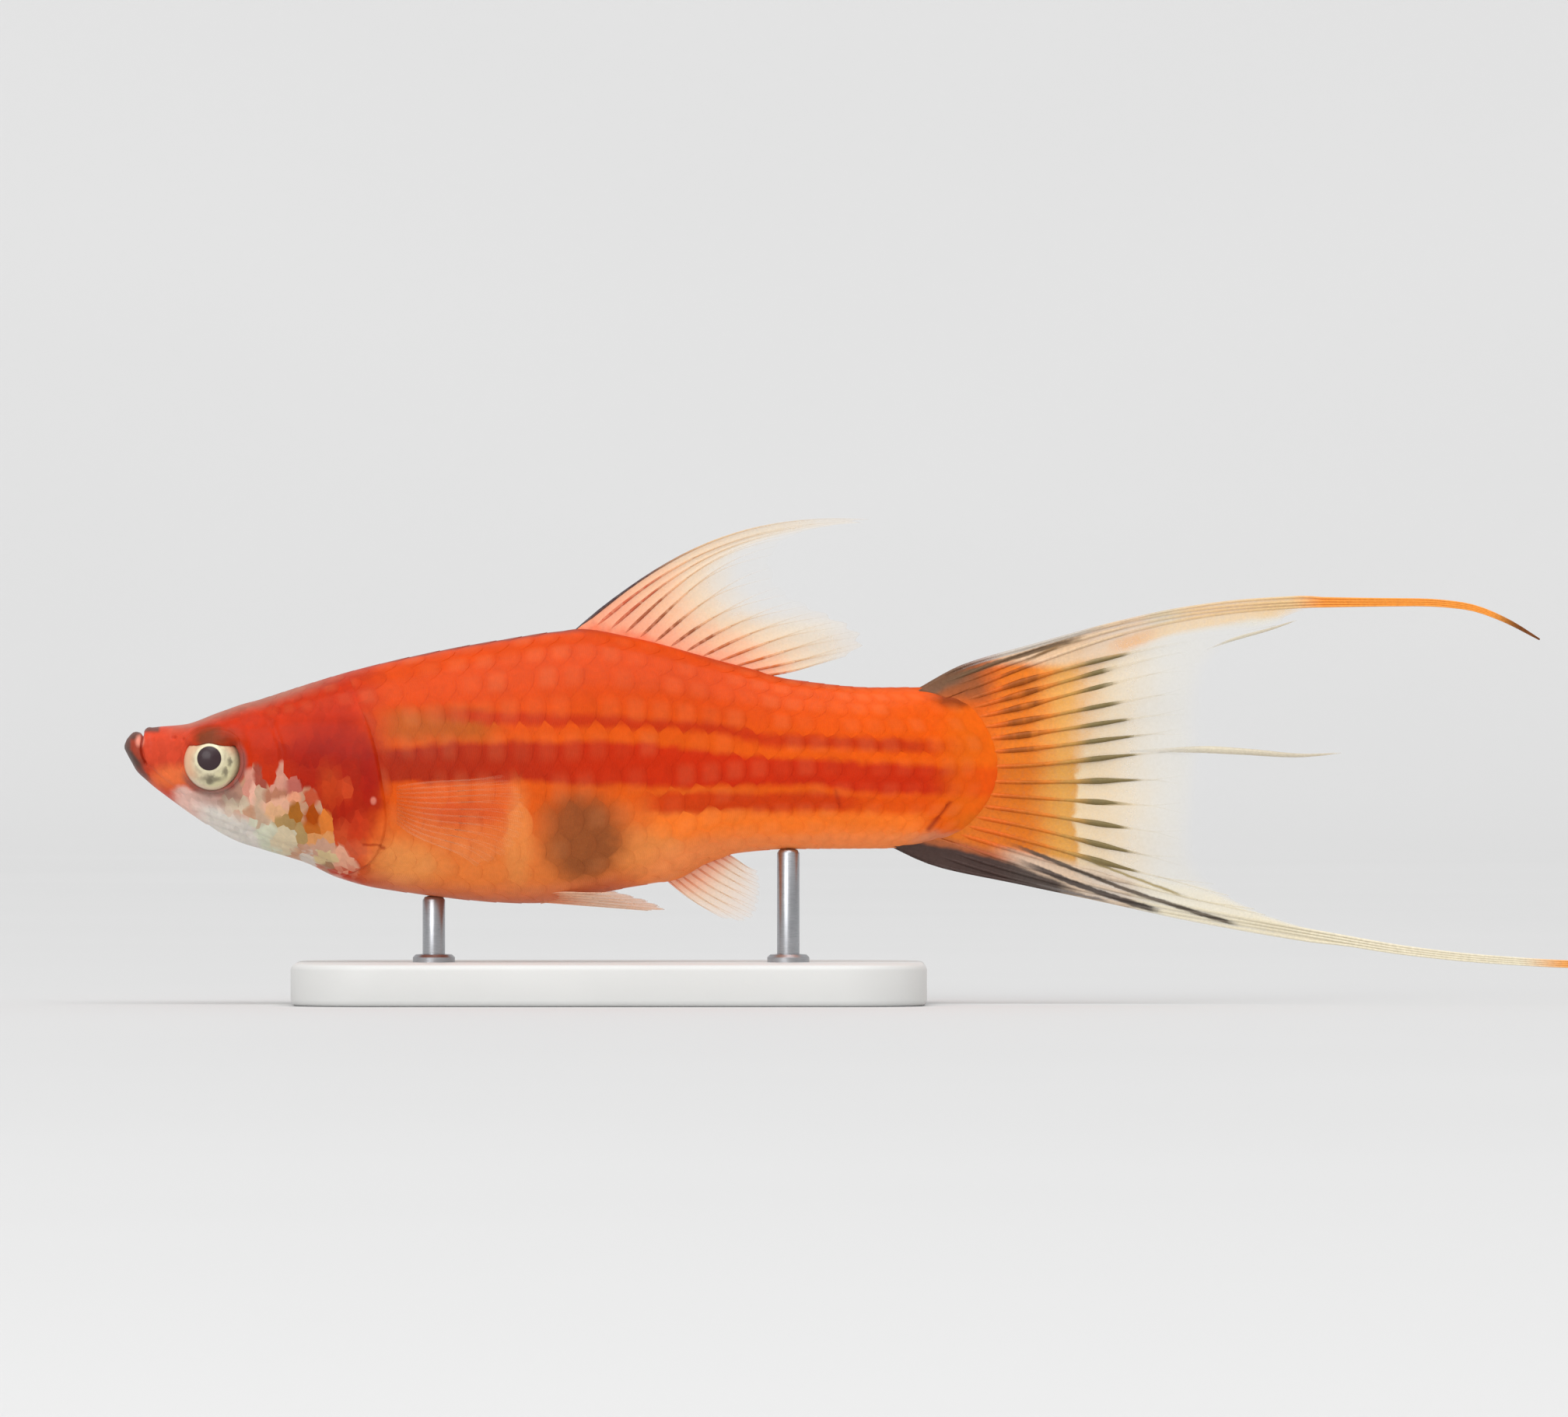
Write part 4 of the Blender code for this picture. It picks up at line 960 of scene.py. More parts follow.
# The scales' darker edge, and a painted highlight at their middle
SCALE_EDGE = paint(150, 50, 24)
SCALE_PAINTED_GLEAM = paint(255, 176, 120)

# The wet gloss of the skin and the scales
WET = {
    "Specular_IOR_Level": 0.1, "Coat_Weight": 0.05, "Coat_Roughness": 0.15, "Subsurface_Weight": 0.08,
    "Subsurface_Radius": (1.0, 0.3, 0.1), "Subsurface_Scale": 0.0005,
}


def finish_wet(tree, shader, colour, rough, metal):
    for socket_name, field in (("Base Color", colour), ("Roughness", rough), ("Metallic", metal)):
        put(tree, shader.inputs[socket_name], field)


def skin_material(markings):
    made, tree, shader = material("wet_skin", **WET)
    where = object_place(tree)
    colour, rough, metal = use_group(tree, markings, where)
    finish_wet(tree, shader, colour, rough, metal)
    grain = noise(tree, where, 0.18, 3.0) * 0.6 + noise(tree, where, 0.6, 2.0)
    bump(tree, shader, grain, 0.35, 0.05)
    return made


def scale_material(markings):
    """As the skin, with the colour of a scale leaning to that at its middle, and fine growth rings."""
    made, tree, shader = material("scales", **WET)
    where = object_place(tree)
    middle = own_attribute(tree, "scale_middle", "Vector")
    at = blend(tree, where, middle, 0.14)
    colour, rough, metal = use_group(tree, markings, at)
    along, across = own_map(tree, "scale_map")
    edge = along.between(0.78, 1.0)
    colour = blend(tree, colour, SCALE_EDGE, edge * 0.06)
    # A painted highlight: each scale's middle is made lighter and warmer, more on some scales than others
    painted_gleam = along.within(0.5, 0.9, 0.12) * abs(across - 0.5).between(0.34, 0.1)
    colour = blend(tree, colour, SCALE_PAINTED_GLEAM, painted_gleam * own_attribute(tree, "scale_tone") * 0.07)
    finish_wet(tree, shader, colour, rough, metal)
    side = across - 0.5
    rings = ((along * along + side * side).math("SQRT") * 120).math("SINE") * 0.3
    grooves = (side.math("ARCTAN2", along) * 60).math("SINE") * 0.2
    bump(tree, shader, rings + grooves + noise(tree, where, 0.3, 2.0), 0.25, 0.03)
    return made


def spread_rows():
    """The places of the skin's rows of vertices."""
    rows = []
    for start, stop, step in SKIN_ROWS:
        many = round((stop - start) / step)
        rows += [start + (stop - start) * i / many for i in range(many)]
    return np.array([*rows, FLESH_ROW])


def make_skin(look):
    """One skin from the lips to the tail, rolled from a sheet whose edges meet under the belly."""
    rows = spread_rows()
    (u, v, _), faces = corners_of(sheet_form(len(rows) - 1, SKIN_ROUND))
    row = rows[np.round(u * (len(rows) - 1)).astype(int)]
    points = on_skin(row, 2 * v - 1)
    points[row == 0.0] = NOSE
    points[row == FLESH_ROW, 1] = 0.0
    mesh = laid("skin", faces, points[None], [("skin_map", np.stack([u, v], axis=-1)[None])], closed_by=2e-6)
    return object_of(mesh, look, ["head", "lower_jaw", "torso", "tail_stalk"])


def scale_roots():
    """(row, turn, pitch, rise) for each scale."""
    roots = []
    for k in range(1 - SCALE_ROWS, SCALE_ROWS + 1):
        turn = k / SCALE_ROWS
        share = abs(turn)
        under_cover = 0.14 < share < 0.95
        columns = [8.8]
        while columns[-1] < FLESH_ROW:
            columns.append(columns[-1] + float(scale_pitch(columns[-1])))
        for a, b in zip(columns, columns[1:]):
            root = (a + b) / 2 if k % 2 else a
            pitch = b - a
            tip = root + SCALE_LENGTH * pitch
            if tip > FLESH_ROW - 0.5:
                continue
            on_head = tip < GILL_ROW + 0.1 or (root < GILL_ROW and not under_cover)
            if on_head and share > 0.3:
                continue
            fin = DORSAL_ROOT if k == 0 else ANAL_ROOT if k == SCALE_ROWS else (0.0, 0.0)
            if fin[0] - pitch < (root + tip) / 2 < fin[1] + pitch:
                continue
            roots.append((root, turn, pitch, SCALE_RISE * (0.55 if on_head else 1.0)))
    return np.array(roots)


def make_scales(look):
    """The scales as one coat of thin plates that overlap like tiles."""
    roots = scale_roots()
    root, turn, pitch, rise = (column[:, None] for column in roots.T)
    (u, v, w), faces = corners_of(plate_form(6, 6))
    side = 2 * v - 1
    along = u * (1 - 0.42 * np.abs(side) ** 2.4)
    width = 0.7 + 0.3 * np.sin(np.pi / 2 * np.clip(along / 0.45, 0, 1))
    row = root + along * SCALE_LENGTH * pitch
    share = np.abs(turn)
    tip = root + SCALE_LENGTH * pitch
    behind = (tip >= GILL_ROW + 0.1) & (share > 0.14) & (share < 0.95)
    row = np.where(behind, np.maximum(row, GILL_ROW + 0.12 + 0.04 * along), row)
    row = np.minimum(row, FLESH_ROW - 0.02)
    across = turn + side * width * SCALE_HALF_HEIGHT / SCALE_ROWS
    lift = rise * (along - 0.28) - 0.008 * side**2 + w * SCALE_THICKNESS
    points = on_skin(row, across, lift)
    middle = place(on_skin(root + 0.62 * SCALE_LENGTH * pitch, turn, 0.0))
    tone = np.random.default_rng(11).random(len(roots))[:, None, None]
    own = np.stack([along, v], axis=-1)[None]
    shrunk = 0.5 + (np.stack([u, v], axis=-1) - 0.5) * (1 + 0.2 * w[:, None])
    home = np.stack([root / FLESH_ROW, (turn + 1) / 2], axis=-1) * 0.98 + 0.01
    baked = home + (shrunk[None] - 0.5) * PATCH
    maps = [
        ("OFBake", baked),
        ("scale_map", own),
        ("scale_middle", middle),
        ("scale_tone", tone),
    ]
    coat = object_of(laid("scales", faces, points, maps), look)
    coat.data.set_sharp_from_angle(angle=math.radians(40))
    return coat


# Fins

def bent(root, tip, root_angle, tip_angle, t):
    """Points along a ray that leaves its root and reaches its tip at two angles."""
    a, d = np.asarray(root, float), np.asarray(tip, float)
    reach = np.linalg.norm(d - a) * HANDLE
    b = a + reach * np.array([math.cos(math.radians(root_angle)), math.sin(math.radians(root_angle))])
    c = d - reach * np.array([math.cos(math.radians(tip_angle)), math.sin(math.radians(tip_angle))])
    t = np.asarray(t, float)[:, None]
    s = 1 - t
    return s**3 * a + 3 * s * s * t * b + 3 * s * t * t * c + t**3 * d


PATH_STEPS = 48
FORK_SPREAD = 0.23  # how far a forked ray's branches lean, in gaps between rays
SHARES = np.linspace(0, 1, PATH_STEPS + 1)


def fan_of(count, root_of, tips, root_angles, tip_angles):
    """The rays of a fin as rows of points in its own plane."""
    tip, first, last = line_at(tips, np.arange(count)), curve(root_angles), curve(tip_angles)
    return np.array([bent(root_of(k), tip[k], first(k), last(k), SHARES) for k in range(count)])


def straight_fan(count, width, tips, angles):
    """The straight rays of a fin whose root is a straight line of one width."""
    return fan_of(count, lambda k: (0.0, width * k / (count - 1)), tips, angles, angles)


def on_fan(fan, s, t):
    """Points of a fin at ray number s and share t of the way out."""
    s, t = np.broadcast_arrays(np.clip(s, 0, len(fan) - 1), np.clip(t, 0, 1) * PATH_STEPS)
    k = np.minimum(s.astype(int), len(fan) - 2)
    i = np.minimum(t.astype(int), PATH_STEPS - 1)
    f, g = (s - k)[..., None], (t - i)[..., None]
    near = fan[k, i] * (1 - g) + fan[k, i + 1] * g
    far = fan[k + 1, i] * (1 - g) + fan[k + 1, i + 1] * g
    return near * (1 - f) + far * f


def ripple(s, t, size, count):
    """The slight wave of a fin across its plane, which dies away towards its outermost rays."""
    wave = np.sin(s * 0.9 + t * 2.2) + 0.35 * np.sin(s * 2.1 - t * 4.0)
    return size * t * wave * np.sin(np.pi * s / (count - 1))


def make_membrane(
    name, fan, lay, look, wave, nodes, steps=44, splits=6, notch=0.02, root=0.5, among=None, reach=1.0,
):
    """The thin skin between a fin's rays: thick at its root and pleated from ray to ray.

    among is (number of the first ray, number of rays) where these are some of a bigger fin's, and reach is
    how far along the bigger fin's map they get.
    """
    count = len(fan)
    first, total = among or (0, count)
    (u, v, w), faces = corners_of(plate_form(steps, (count - 1) * splits))
    s = v * (count - 1)
    scallop = 1 - notch * (1 - np.cos(2 * np.pi * s))
    t = u * scallop
    point = on_fan(fan, s, t)
    half = 0.025 + (root / 2 - 0.025) * np.exp(-t / 0.035)
    pleat = 0.045 * np.sin(np.pi * s) ** 2 * np.sin(np.pi * np.clip(t * 1.2, 0, 1))
    n = ripple(s, t, wave, count) + pleat + (2 * w + 1) * half
    points = lay(point[..., 0], point[..., 1], n)
    maps = [("fin_map", np.stack([(first + s) / (total - 1), t * reach], axis=-1)[None])]
    return object_of(laid(name, faces, points[None], maps), look, nodes)


def tube_points(fan, s_of, t, angle, radius, lay, wave):
    """A ray's wall: a round tube along the path where s is s_of(t)."""
    step = 0.01
    here = on_fan(fan, s_of(t), t)
    ahead = on_fan(fan, s_of(np.minimum(t + step, 1)), np.minimum(t + step, 1))
    behind = on_fan(fan, s_of(np.maximum(t - step, 0)), np.maximum(t - step, 0))
    way = ahead - behind
    way /= np.linalg.norm(way, axis=-1, keepdims=True) + 1e-9
    a = here[..., 0] - way[..., 1] * radius * np.cos(angle)
    b = here[..., 1] + way[..., 0] * radius * np.cos(angle)
    n = ripple(s_of(t), t, wave, len(fan)) + radius * np.sin(angle)
    return lay(a, b, n)


def make_rays(
    name, fan, lay, look, wave, thick, fork, nodes=(), steps=20, thin=0.03, swell=None, among=None,
):
    """The fin's rays: tapering rods, which fork at fork, a share of the way out, where that is under 1.

    thick and thin are its radius at its root and its tip, and swell makes it thicker at some places.
    """
    count = len(fan)
    first, total = among or (0, count)
    (cx, cy, cz), faces = corners_of(tube_form(6, steps))
    angle = np.arctan2(cy, cx)
    rows, places = [], []
    for k in range(count):
        start = fork(k) if callable(fork) else fork
        parts = [(0.0, start, 0.0)]
        if start < 1:
            parts += [(start, 1.0, -FORK_SPREAD), (start, 1.0, FORK_SPREAD)]
        for begin, end, lean in parts:
            t = begin + cz * (end - begin)
            radius = thin + (thick - thin) * (1 - t) ** 0.8
            if lean:
                radius = radius * 0.75
            if swell:
                radius = radius * swell(on_fan(fan, np.full_like(t, k), t))

            def s_of(t, k=k, lean=lean, start=start):
                open_by = smooth_step((t - start) / max(1e-6, 1.0 - start))
                return np.clip(k + lean * open_by, 0, count - 1)

            rows.append(tube_points(fan, s_of, t, angle, radius, lay, wave))
            places.append(np.stack([np.full_like(t, (first + k) / (total - 1)), t], axis=-1))
    mesh = laid(name, faces, np.array(rows), [("fin_map", np.array(places))])
    return object_of(mesh, look, nodes)


def upright(a, b, n):
    return np.stack([a, n, b], axis=-1)


def dorsal_fan():
    first, last = DORSAL_ROOT

    def root(k):
        x = first + (last - first) * k / (DORSAL_RAYS - 1)
        return x, float(back_line(x)) - 0.35

    return fan_of(DORSAL_RAYS, root, DORSAL_TIPS, DORSAL_ROOT_ANGLE, DORSAL_TIP_ANGLE)


def anal_fan():
    first, last = ANAL_ROOT

    def root(k):
        x = first + (last - first) * k / (ANAL_RAYS - 1)
        return x, float(belly_line(x)) + 0.35

    return fan_of(ANAL_RAYS, root, ANAL_TIPS, ANAL_ROOT_ANGLE, ANAL_TIP_ANGLE)


def sword_path(line, offset):
    """A ray's points along a sword, at an offset from 1 at its upper edge to -1."""
    t = SHARES
    along = line_at(line, np.minimum(t + 0.02, 1)) - line_at(line, np.maximum(t - 0.02, 0))
    along /= np.linalg.norm(along, axis=-1, keepdims=True)
    across = np.stack([-along[:, 1], along[:, 0]], axis=-1)
    return line_at(line, t) + across * (curve(SWORD_HALF_DEPTH)(t) * offset)[:, None]


def tail_root(k):
    """A ray's root, a little inside the edge of the flesh."""
    x, _, z = body(np.array(FLESH_ROW), np.array(k / (TAIL_RAYS - 1)))
    angle = math.radians(float(curve(TAIL_ROOT_ANGLE)(k)))
    return x - 1.2 * math.cos(angle), z - 1.2 * math.sin(angle)


def tail_fans():
    """The tail's fan, and each sword's own, whose rays run on from the outermost of the fan."""
    tips = [(0, *UPPER_SWORD[0][1:]), *TAIL_TIPS, (20, *LOWER_SWORD[0][1:])]
    fan = fan_of(TAIL_RAYS, tail_root, tips, TAIL_ROOT_ANGLE, TAIL_TIP_ANGLE)
    swords = []
    offsets = np.linspace(1, -1, SWORD_RAYS)
    for line, first in ((UPPER_SWORD, 0), (LOWER_SWORD, TAIL_RAYS - SWORD_RAYS)):
        sword = []
        for k, offset in enumerate(offsets, first):
            path = sword_path(line, offset)
            angles = curve(TAIL_ROOT_ANGLE)(k), curve(TAIL_TIP_ANGLE)(k)
            fan[k] = bent(tail_root(k), path[0], *angles, SHARES)
            sword.append(path)
        swords.append(np.array(sword))
    fan[0] = line_at(UPPER_EDGE, SHARES)
    fan[-1] = line_at(LOWER_EDGE, SHARES)
    return fan, swords


def joined_rays(fan, sword, numbers):
    """The rays that run through the tail and on along a sword, with their points evenly shared."""
    long = []
    for k, path in zip(numbers, sword):
        whole = np.concatenate([fan[k], path[1:]])
        run = np.concatenate([[0], np.cumsum(np.linalg.norm(np.diff(whole, axis=0), axis=-1))])
        even = np.linspace(0, run[-1], PATH_STEPS + 1)
        long.append(np.stack([np.interp(even, run, whole[:, i]) for i in (0, 1)], axis=-1))
    return np.array(long)


# Fin materials

def fin_fade(tree, along, stops):
    """Colour and solidness along a fin, from (share, colour, solid) stops."""
    colour = stops[0][1]
    for (start, _, _), (end, new, _) in zip(stops, stops[1:]):
        colour = blend(tree, colour, new, along.between(start, end))
    solid = along.follow([(share, level) for share, _, level in stops])
    return colour, solid


def clear_look(made, tree, shader, colour, solid):
    """Finishes a see-through fin material."""
    grain = noise(tree, object_place(tree), 0.25, 2.0)
    put(tree, shader.inputs["Base Color"], colour)
    put(tree, shader.inputs["Alpha"], solid * (grain * 0.5 + 0.75))
    bump(tree, shader, grain, 0.3, 0.03)
    return made


# The dorsal fin from its root to its edge, as (share of the way out, colour, solidness)
DORSAL_WEB = [
    (0.0, paint(248, 132, 92), 0.85), (0.08, paint(254, 176, 136), 0.75), (0.26, paint(252, 196, 150), 0.62),
    (0.45, paint(244, 212, 172), 0.5), (0.7, paint(236, 216, 186), 0.4), (1.0, paint(230, 218, 200), 0.16),
]
DORSAL_RODS = [
    (0.0, paint(246, 120, 82), 0.5), (0.1, paint(248, 150, 108), 0.5), (0.35, paint(244, 186, 132), 0.4),
    (0.55, paint(238, 204, 158), 0.26), (0.8, paint(232, 210, 176), 0.12), (1.0, paint(228, 214, 190), 0.02),
]

# The stains on the dorsal fin's rays
STAIN_FRONT = paint(200, 88, 58)
STAIN_MIDDLE = paint(150, 80, 46)
STAIN_REAR = paint(206, 104, 44)
LEADING_RAY = paint(74, 56, 62)


def dorsal_membrane_look():
    made, tree, shader = material("dorsal_membrane", Roughness=0.45, Specular_IOR_Level=0.3)
    across, along = own_map(tree, "fin_map")
    where = object_place(tree)
    t = along + (noise(tree, where, 1.8, 3.0) - 0.5) * 0.14
    colour, solid = fin_fade(tree, t, DORSAL_WEB)
    middle = across.within(0.2, 0.66, 0.12) * t.between(0.4, 0.85)
    solid = solid * (middle * -0.9 + 1.0)
    return clear_look(made, tree, shader, colour, solid)


def dorsal_ray_look():
    made, tree, shader = material("dorsal_rays", Roughness=0.5, Specular_IOR_Level=0.3)
    across, along = own_map(tree, "fin_map")
    where = object_place(tree)
    knots = noise(tree, where, 0.5, 2.0).between(0.3, 0.6)
    colour, solid = fin_fade(tree, along, DORSAL_RODS)
    streak = along.within(0.05, 0.3, 0.06) * (knots * 0.5 + 0.5)
    stain = blend(tree, STAIN_FRONT, STAIN_MIDDLE, across.between(0.1, 0.3))
    stain = blend(tree, stain, STAIN_REAR, across.between(0.55, 0.75))
    colour = blend(tree, colour, stain, streak * 0.9)
    solid = solid.most(streak * 0.85)
    lead = across.between(0.05, 0.01)
    colour = blend(tree, colour, LEADING_RAY, lead * along.between(0.55, 0.2))
    solid = solid.most(lead * along.between(1.05, 0.35) * 0.7)
    return clear_look(made, tree, shader, colour, solid)


TAIL_TOP = [
    (55, 4.2), (59.6, 6.55), (64.7, 8.05), (69.6, 9.4), (74.9, 10.6), (79.8, 11.3), (84.6, 11.4),
    (92, 11.4), (97, 10.8), (101, 8.9),
]
TAIL_UNDER = [
    (54, -6.1), (57.4, -7.5), (63.4, -8.8), (69.6, -10.15), (75.1, -11.4), (80.1, -12.4), (85.2, -13.3),
    (91.6, -14.1), (97.5, -14.7), (105, -15.0), (115, -14.3),
]
PEACH_BAND = [
    (62, 5.4), (66.5, 6.9), (68.9, 7.5), (71.8, 8.35), (75.1, 9.4), (78.4, 10.0), (81.6, 10.7),
    (84.6, 11.1), (92, 11.1), (97, 10.3), (101, 8.5),
]


def tail_fields(tree):
    """The place on the tail, how far it lies from the tail's two edges, and its shares across and along."""
    where = object_place(tree)
    px, _, pz = parts_of(tree, where)
    across, along = own_map(tree, "fin_map")
    x = px / MM + TOTAL_LENGTH / 2
    z = pz / MM - AXIS_HEIGHT
    return where, x, z, x.follow(TAIL_TOP) - z, z - x.follow(TAIL_UNDER), across, along


# The tail's streaks: their lines, half their widths, where they start and end, and their colours
TAIL_STREAKS = [
    ([(57, 4.9), (60.3, 6.2), (62.8, 7.03), (66.6, 8.15), (69, 8.8)], 0.17, 57.5, 68.0, paint(110, 86, 62)),
    ([(62, 6.0), (63.6, 6.7), (65.8, 7.7), (67.5, 8.4)], 0.12, 62.6, 66.8, paint(150, 116, 78)),
    ([(65, -5.8), (67.6, -6.9), (71, -8.2), (74.8, -9.6), (77, -10.4)], 0.1, 66.5, 75.5, paint(162, 144, 98)),
    ([(62, -5.7), (64.2, -6.55), (68.2, -8.15), (70.9, -9.2), (74.6, -10.45), (79.6, -12.0)],
     0.15, 62.0, 79.2, paint(78, 66, 58)),
    ([(62, -6.7), (65.5, -8.05), (67.3, -8.8), (70.9, -10.05), (73.5, -10.85), (76, -11.5)],
     0.2, 62.5, 73.6, paint(60, 52, 52)),
    ([(64, -8.7), (66, -9.25), (68, -9.72), (69.9, -10.15), (72, -10.6)],
     0.1, 64.0, 70.2, paint(112, 104, 100)),
]

# The tail's edges
LOBE_CREAM = paint(236, 206, 172)
PEACH_NEAR = paint(240, 178, 98)
PEACH_FAR = paint(242, 208, 154)
SWORD_ORANGE = paint(255, 166, 70)
SWORD_DARK_TIP = paint(104, 54, 28)
LOBE_GREY = paint(220, 198, 176)
LOBE_PALE = paint(240, 230, 204)
SWORD_PALE_TIP = paint(250, 176, 94)
FRINGE = paint(204, 198, 188)
ROOT_BROWN = paint(136, 82, 48)
DUSK = paint(108, 82, 62)
RUDDY = paint(142, 84, 62)
SLATE = paint(62, 52, 50)


def tail_edges(tree, colour, solid, where, true_x, z, edges):
    """Lays the tail's pale lobes, their orange swords, the streaks and the slate patch under its root."""
    below_top, above_under = edges
    cloud = noise(tree, where, 1.3, 3.0) - 0.5
    rough = noise(tree, where, 0.5, 3.0) - 0.5
    x = true_x + cloud * 1.2
    pale = below_top - true_x.follow([(60, 0.4), (63, 0.8), (65, 1.5), (67, 2.1)])
    colour = blend(tree, colour, LOBE_CREAM, pale.between(0.4, -0.4) * x.within(61.5, 73, 1.2) * 0.85)
    peach = abs(z - true_x.follow(PEACH_BAND)).between(0.8, 0.2) * x.between(69, 71.5)
    peach = peach.most(below_top.between(1.7, 1.1) * x.between(72.5, 76.5))
    colour = blend(tree, colour, blend(tree, PEACH_NEAR, PEACH_FAR, x.between(71.5, 74.5)), peach)
    colour = blend(tree, colour, SWORD_ORANGE, true_x.between(82.6, 85.6) * z.between(4, 8))
    colour = blend(tree, colour, SWORD_DARK_TIP, true_x.between(97.0, 99.4) * z.between(4, 8) * 0.9)
    beneath = above_under.between(2.6, 1.8) * true_x.within(62.5, 72, 1.5)
    colour = blend(tree, colour, LOBE_GREY, beneath * 0.85)
    colour = blend(tree, colour, LOBE_PALE, above_under.between(3.0, 2.0) * true_x.between(71, 74))
    colour = blend(tree, colour, SWORD_PALE_TIP, true_x.between(99, 103) * z.between(-8, -12))
    lobes = below_top.between(2.4, 1.2).most(above_under.between(3.4, 1.8)).most(peach)
    solid = solid.most(lobes * true_x.follow([
        (60, 0.85), (67, 0.55), (76, 0.42), (82, 0.6), (88, 0.85), (115, 0.8),
    ]))
    fringe = below_top.between(0.3, 0.15) * true_x.within(59.5, 69, 1.5)
    colour = blend(tree, colour, FRINGE, fringe * 0.8)
    solid = solid * (fringe * -0.5 + 1.0)
    dusk = (below_top + cloud * 0.5).between(1.5, 0.8) * true_x.within(55.5, 60.0, 1.2)
    colour = blend(tree, colour, ROOT_BROWN, x.within(56.5, 61.5, 1.2) * z.between(3.4, 4.8) * 0.8)
    colour = blend(tree, colour, DUSK, dusk * 0.85)
    deep = true_x.follow([(54, 0.75), (57, 1.3), (59, 1.5), (61, 1.4), (63.7, 1.15), (66.2, 0.75), (69, 0.1)])
    slate = (above_under + cloud * 0.4 - deep).between(0.2, -0.2) * x.between(68.5, 66)
    ruddy = (above_under - deep - 0.3).between(0.6, -0.1) * true_x.between(65, 61)
    colour = blend(tree, colour, RUDDY, ruddy * 0.7)
    colour = blend(tree, colour, SLATE, slate * 0.95)
    dark = slate.most(dusk * 0.8)
    for line, half, start, end, tint in TAIL_STREAKS:
        off = abs(z + rough * 0.16 - true_x.follow(line))
        streak = off.between(half + 0.08, half - 0.08)
        streak = streak * x.between(start, start + 3.0) * x.between(end + 0.4, end - 1.0)
        colour = blend(tree, colour, tint, streak * 0.92)
        dark = dark.most(streak)
    return colour, solid.most(dark * 0.92)


# The tail's membrane, from its root outwards
WEB_ROOT = paint(226, 100, 26)
WEB_ROOT_LOW = paint(218, 112, 32)
WEB_ORANGE = paint(238, 128, 32)
WEB_ORANGE_LOW = paint(216, 114, 14)
WEB_GOLD = paint(236, 172, 88)
WEB_GOLD_LOW = paint(222, 160, 74)
WEB_CREAM = paint(238, 212, 168)
WEB_CLEAR = paint(230, 222, 202)


def tail_membrane_look():
    made, tree, shader = material("tail_membrane", Roughness=0.45, Specular_IOR_Level=0.3)
    where, true_x, z, *edges, _, along = tail_fields(tree)
    x = true_x + (noise(tree, where, 1.3, 3.0) - 0.5) * 1.4
    low = z.between(0.8, -1.2)
    root = blend(tree, WEB_ROOT, WEB_ROOT_LOW, z.between(-2.0, -4.0))
    colour = blend(tree, root, blend(tree, WEB_ORANGE, WEB_ORANGE_LOW, low), x.between(60.5, 63.5))
    colour = blend(tree, colour, blend(tree, WEB_GOLD, WEB_GOLD_LOW, low), x.between(63.8, 67.0))
    stop = z.follow([(-9, 67.6), (-1.5, 67.7), (2.5, 68.3), (8, 68.9)])
    soft = z.between(-1.5, 3.5) * 1.8 + 0.25
    colour = blend(tree, colour, WEB_CREAM, (x - stop).between(soft * -1, soft))
    colour = blend(tree, colour, WEB_CLEAR, x.between(69.5, 75.0))
    solid = x.follow([
        (55, 0.97), (62, 0.95), (66.8, 0.86), (68.4, 0.6), (70.6, 0.42), (72.5, 0.27), (75, 0.14),
        (78, 0.05),
    ])
    colour, solid = tail_edges(tree, colour, solid, where, true_x, z, edges)
    return clear_look(made, tree, shader, colour, solid * along.between(1.0, 0.9))


# The tail's rays, from their roots outwards
RAY_ROOT = paint(226, 106, 30)
RAY_ORANGE = paint(220, 124, 40)
RAY_BROWN = paint(146, 76, 24)
RAY_GOLD = paint(190, 142, 72)
RAY_DASH = paint(126, 110, 70)
RAY_CLEAR = paint(220, 206, 172)


def tail_ray_look():
    made, tree, shader = material("tail_rays", Roughness=0.5, Specular_IOR_Level=0.3)
    where, true_x, z, *edges, across, _ = tail_fields(tree)
    x = true_x + (noise(tree, where, 1.1, 3.0) - 0.5) * 1.3
    colour = blend(tree, RAY_ROOT, RAY_ORANGE, x.between(62.0, 65.0))
    dashed = noise(tree, vector_of(tree, true_x * MM * 0.5, 0.0, across * 0.03), 0.7, 2.0).between(0.4, 0.55)
    depth = across.follow([(0.15, 0.8), (0.3, 1.0), (0.45, 0.8), (0.6, 0.35), (0.75, 0.25), (0.8, 0.9)])
    brown = x.within(62.5, 65.2, 0.6) * (dashed * 0.6 + 0.4) * depth
    colour = blend(tree, colour, RAY_BROWN, brown * 0.9)
    colour = blend(tree, colour, RAY_GOLD, x.between(65.4, 67.2))
    colour = blend(tree, colour, RAY_DASH, x.between(67.3, 69.0))
    stop = across.follow([
        (0.2, 71.0), (0.25, 69.8), (0.3, 70.0), (0.35, 70.5), (0.4, 71.2), (0.45, 71.8), (0.55, 71.8),
        (0.6, 71.2), (0.65, 71.0), (0.75, 71.8), (0.8, 71.5),
    ])
    beyond = (x - stop).between(-0.5, 0.9)
    colour = blend(tree, colour, RAY_CLEAR, beyond)
    solid = beyond.flipped() * 0.88 + beyond * x.between(76, 72) * 0.12
    colour, solid = tail_edges(tree, colour, solid, where, true_x, z, edges)
    return clear_look(made, tree, shader, colour, solid)


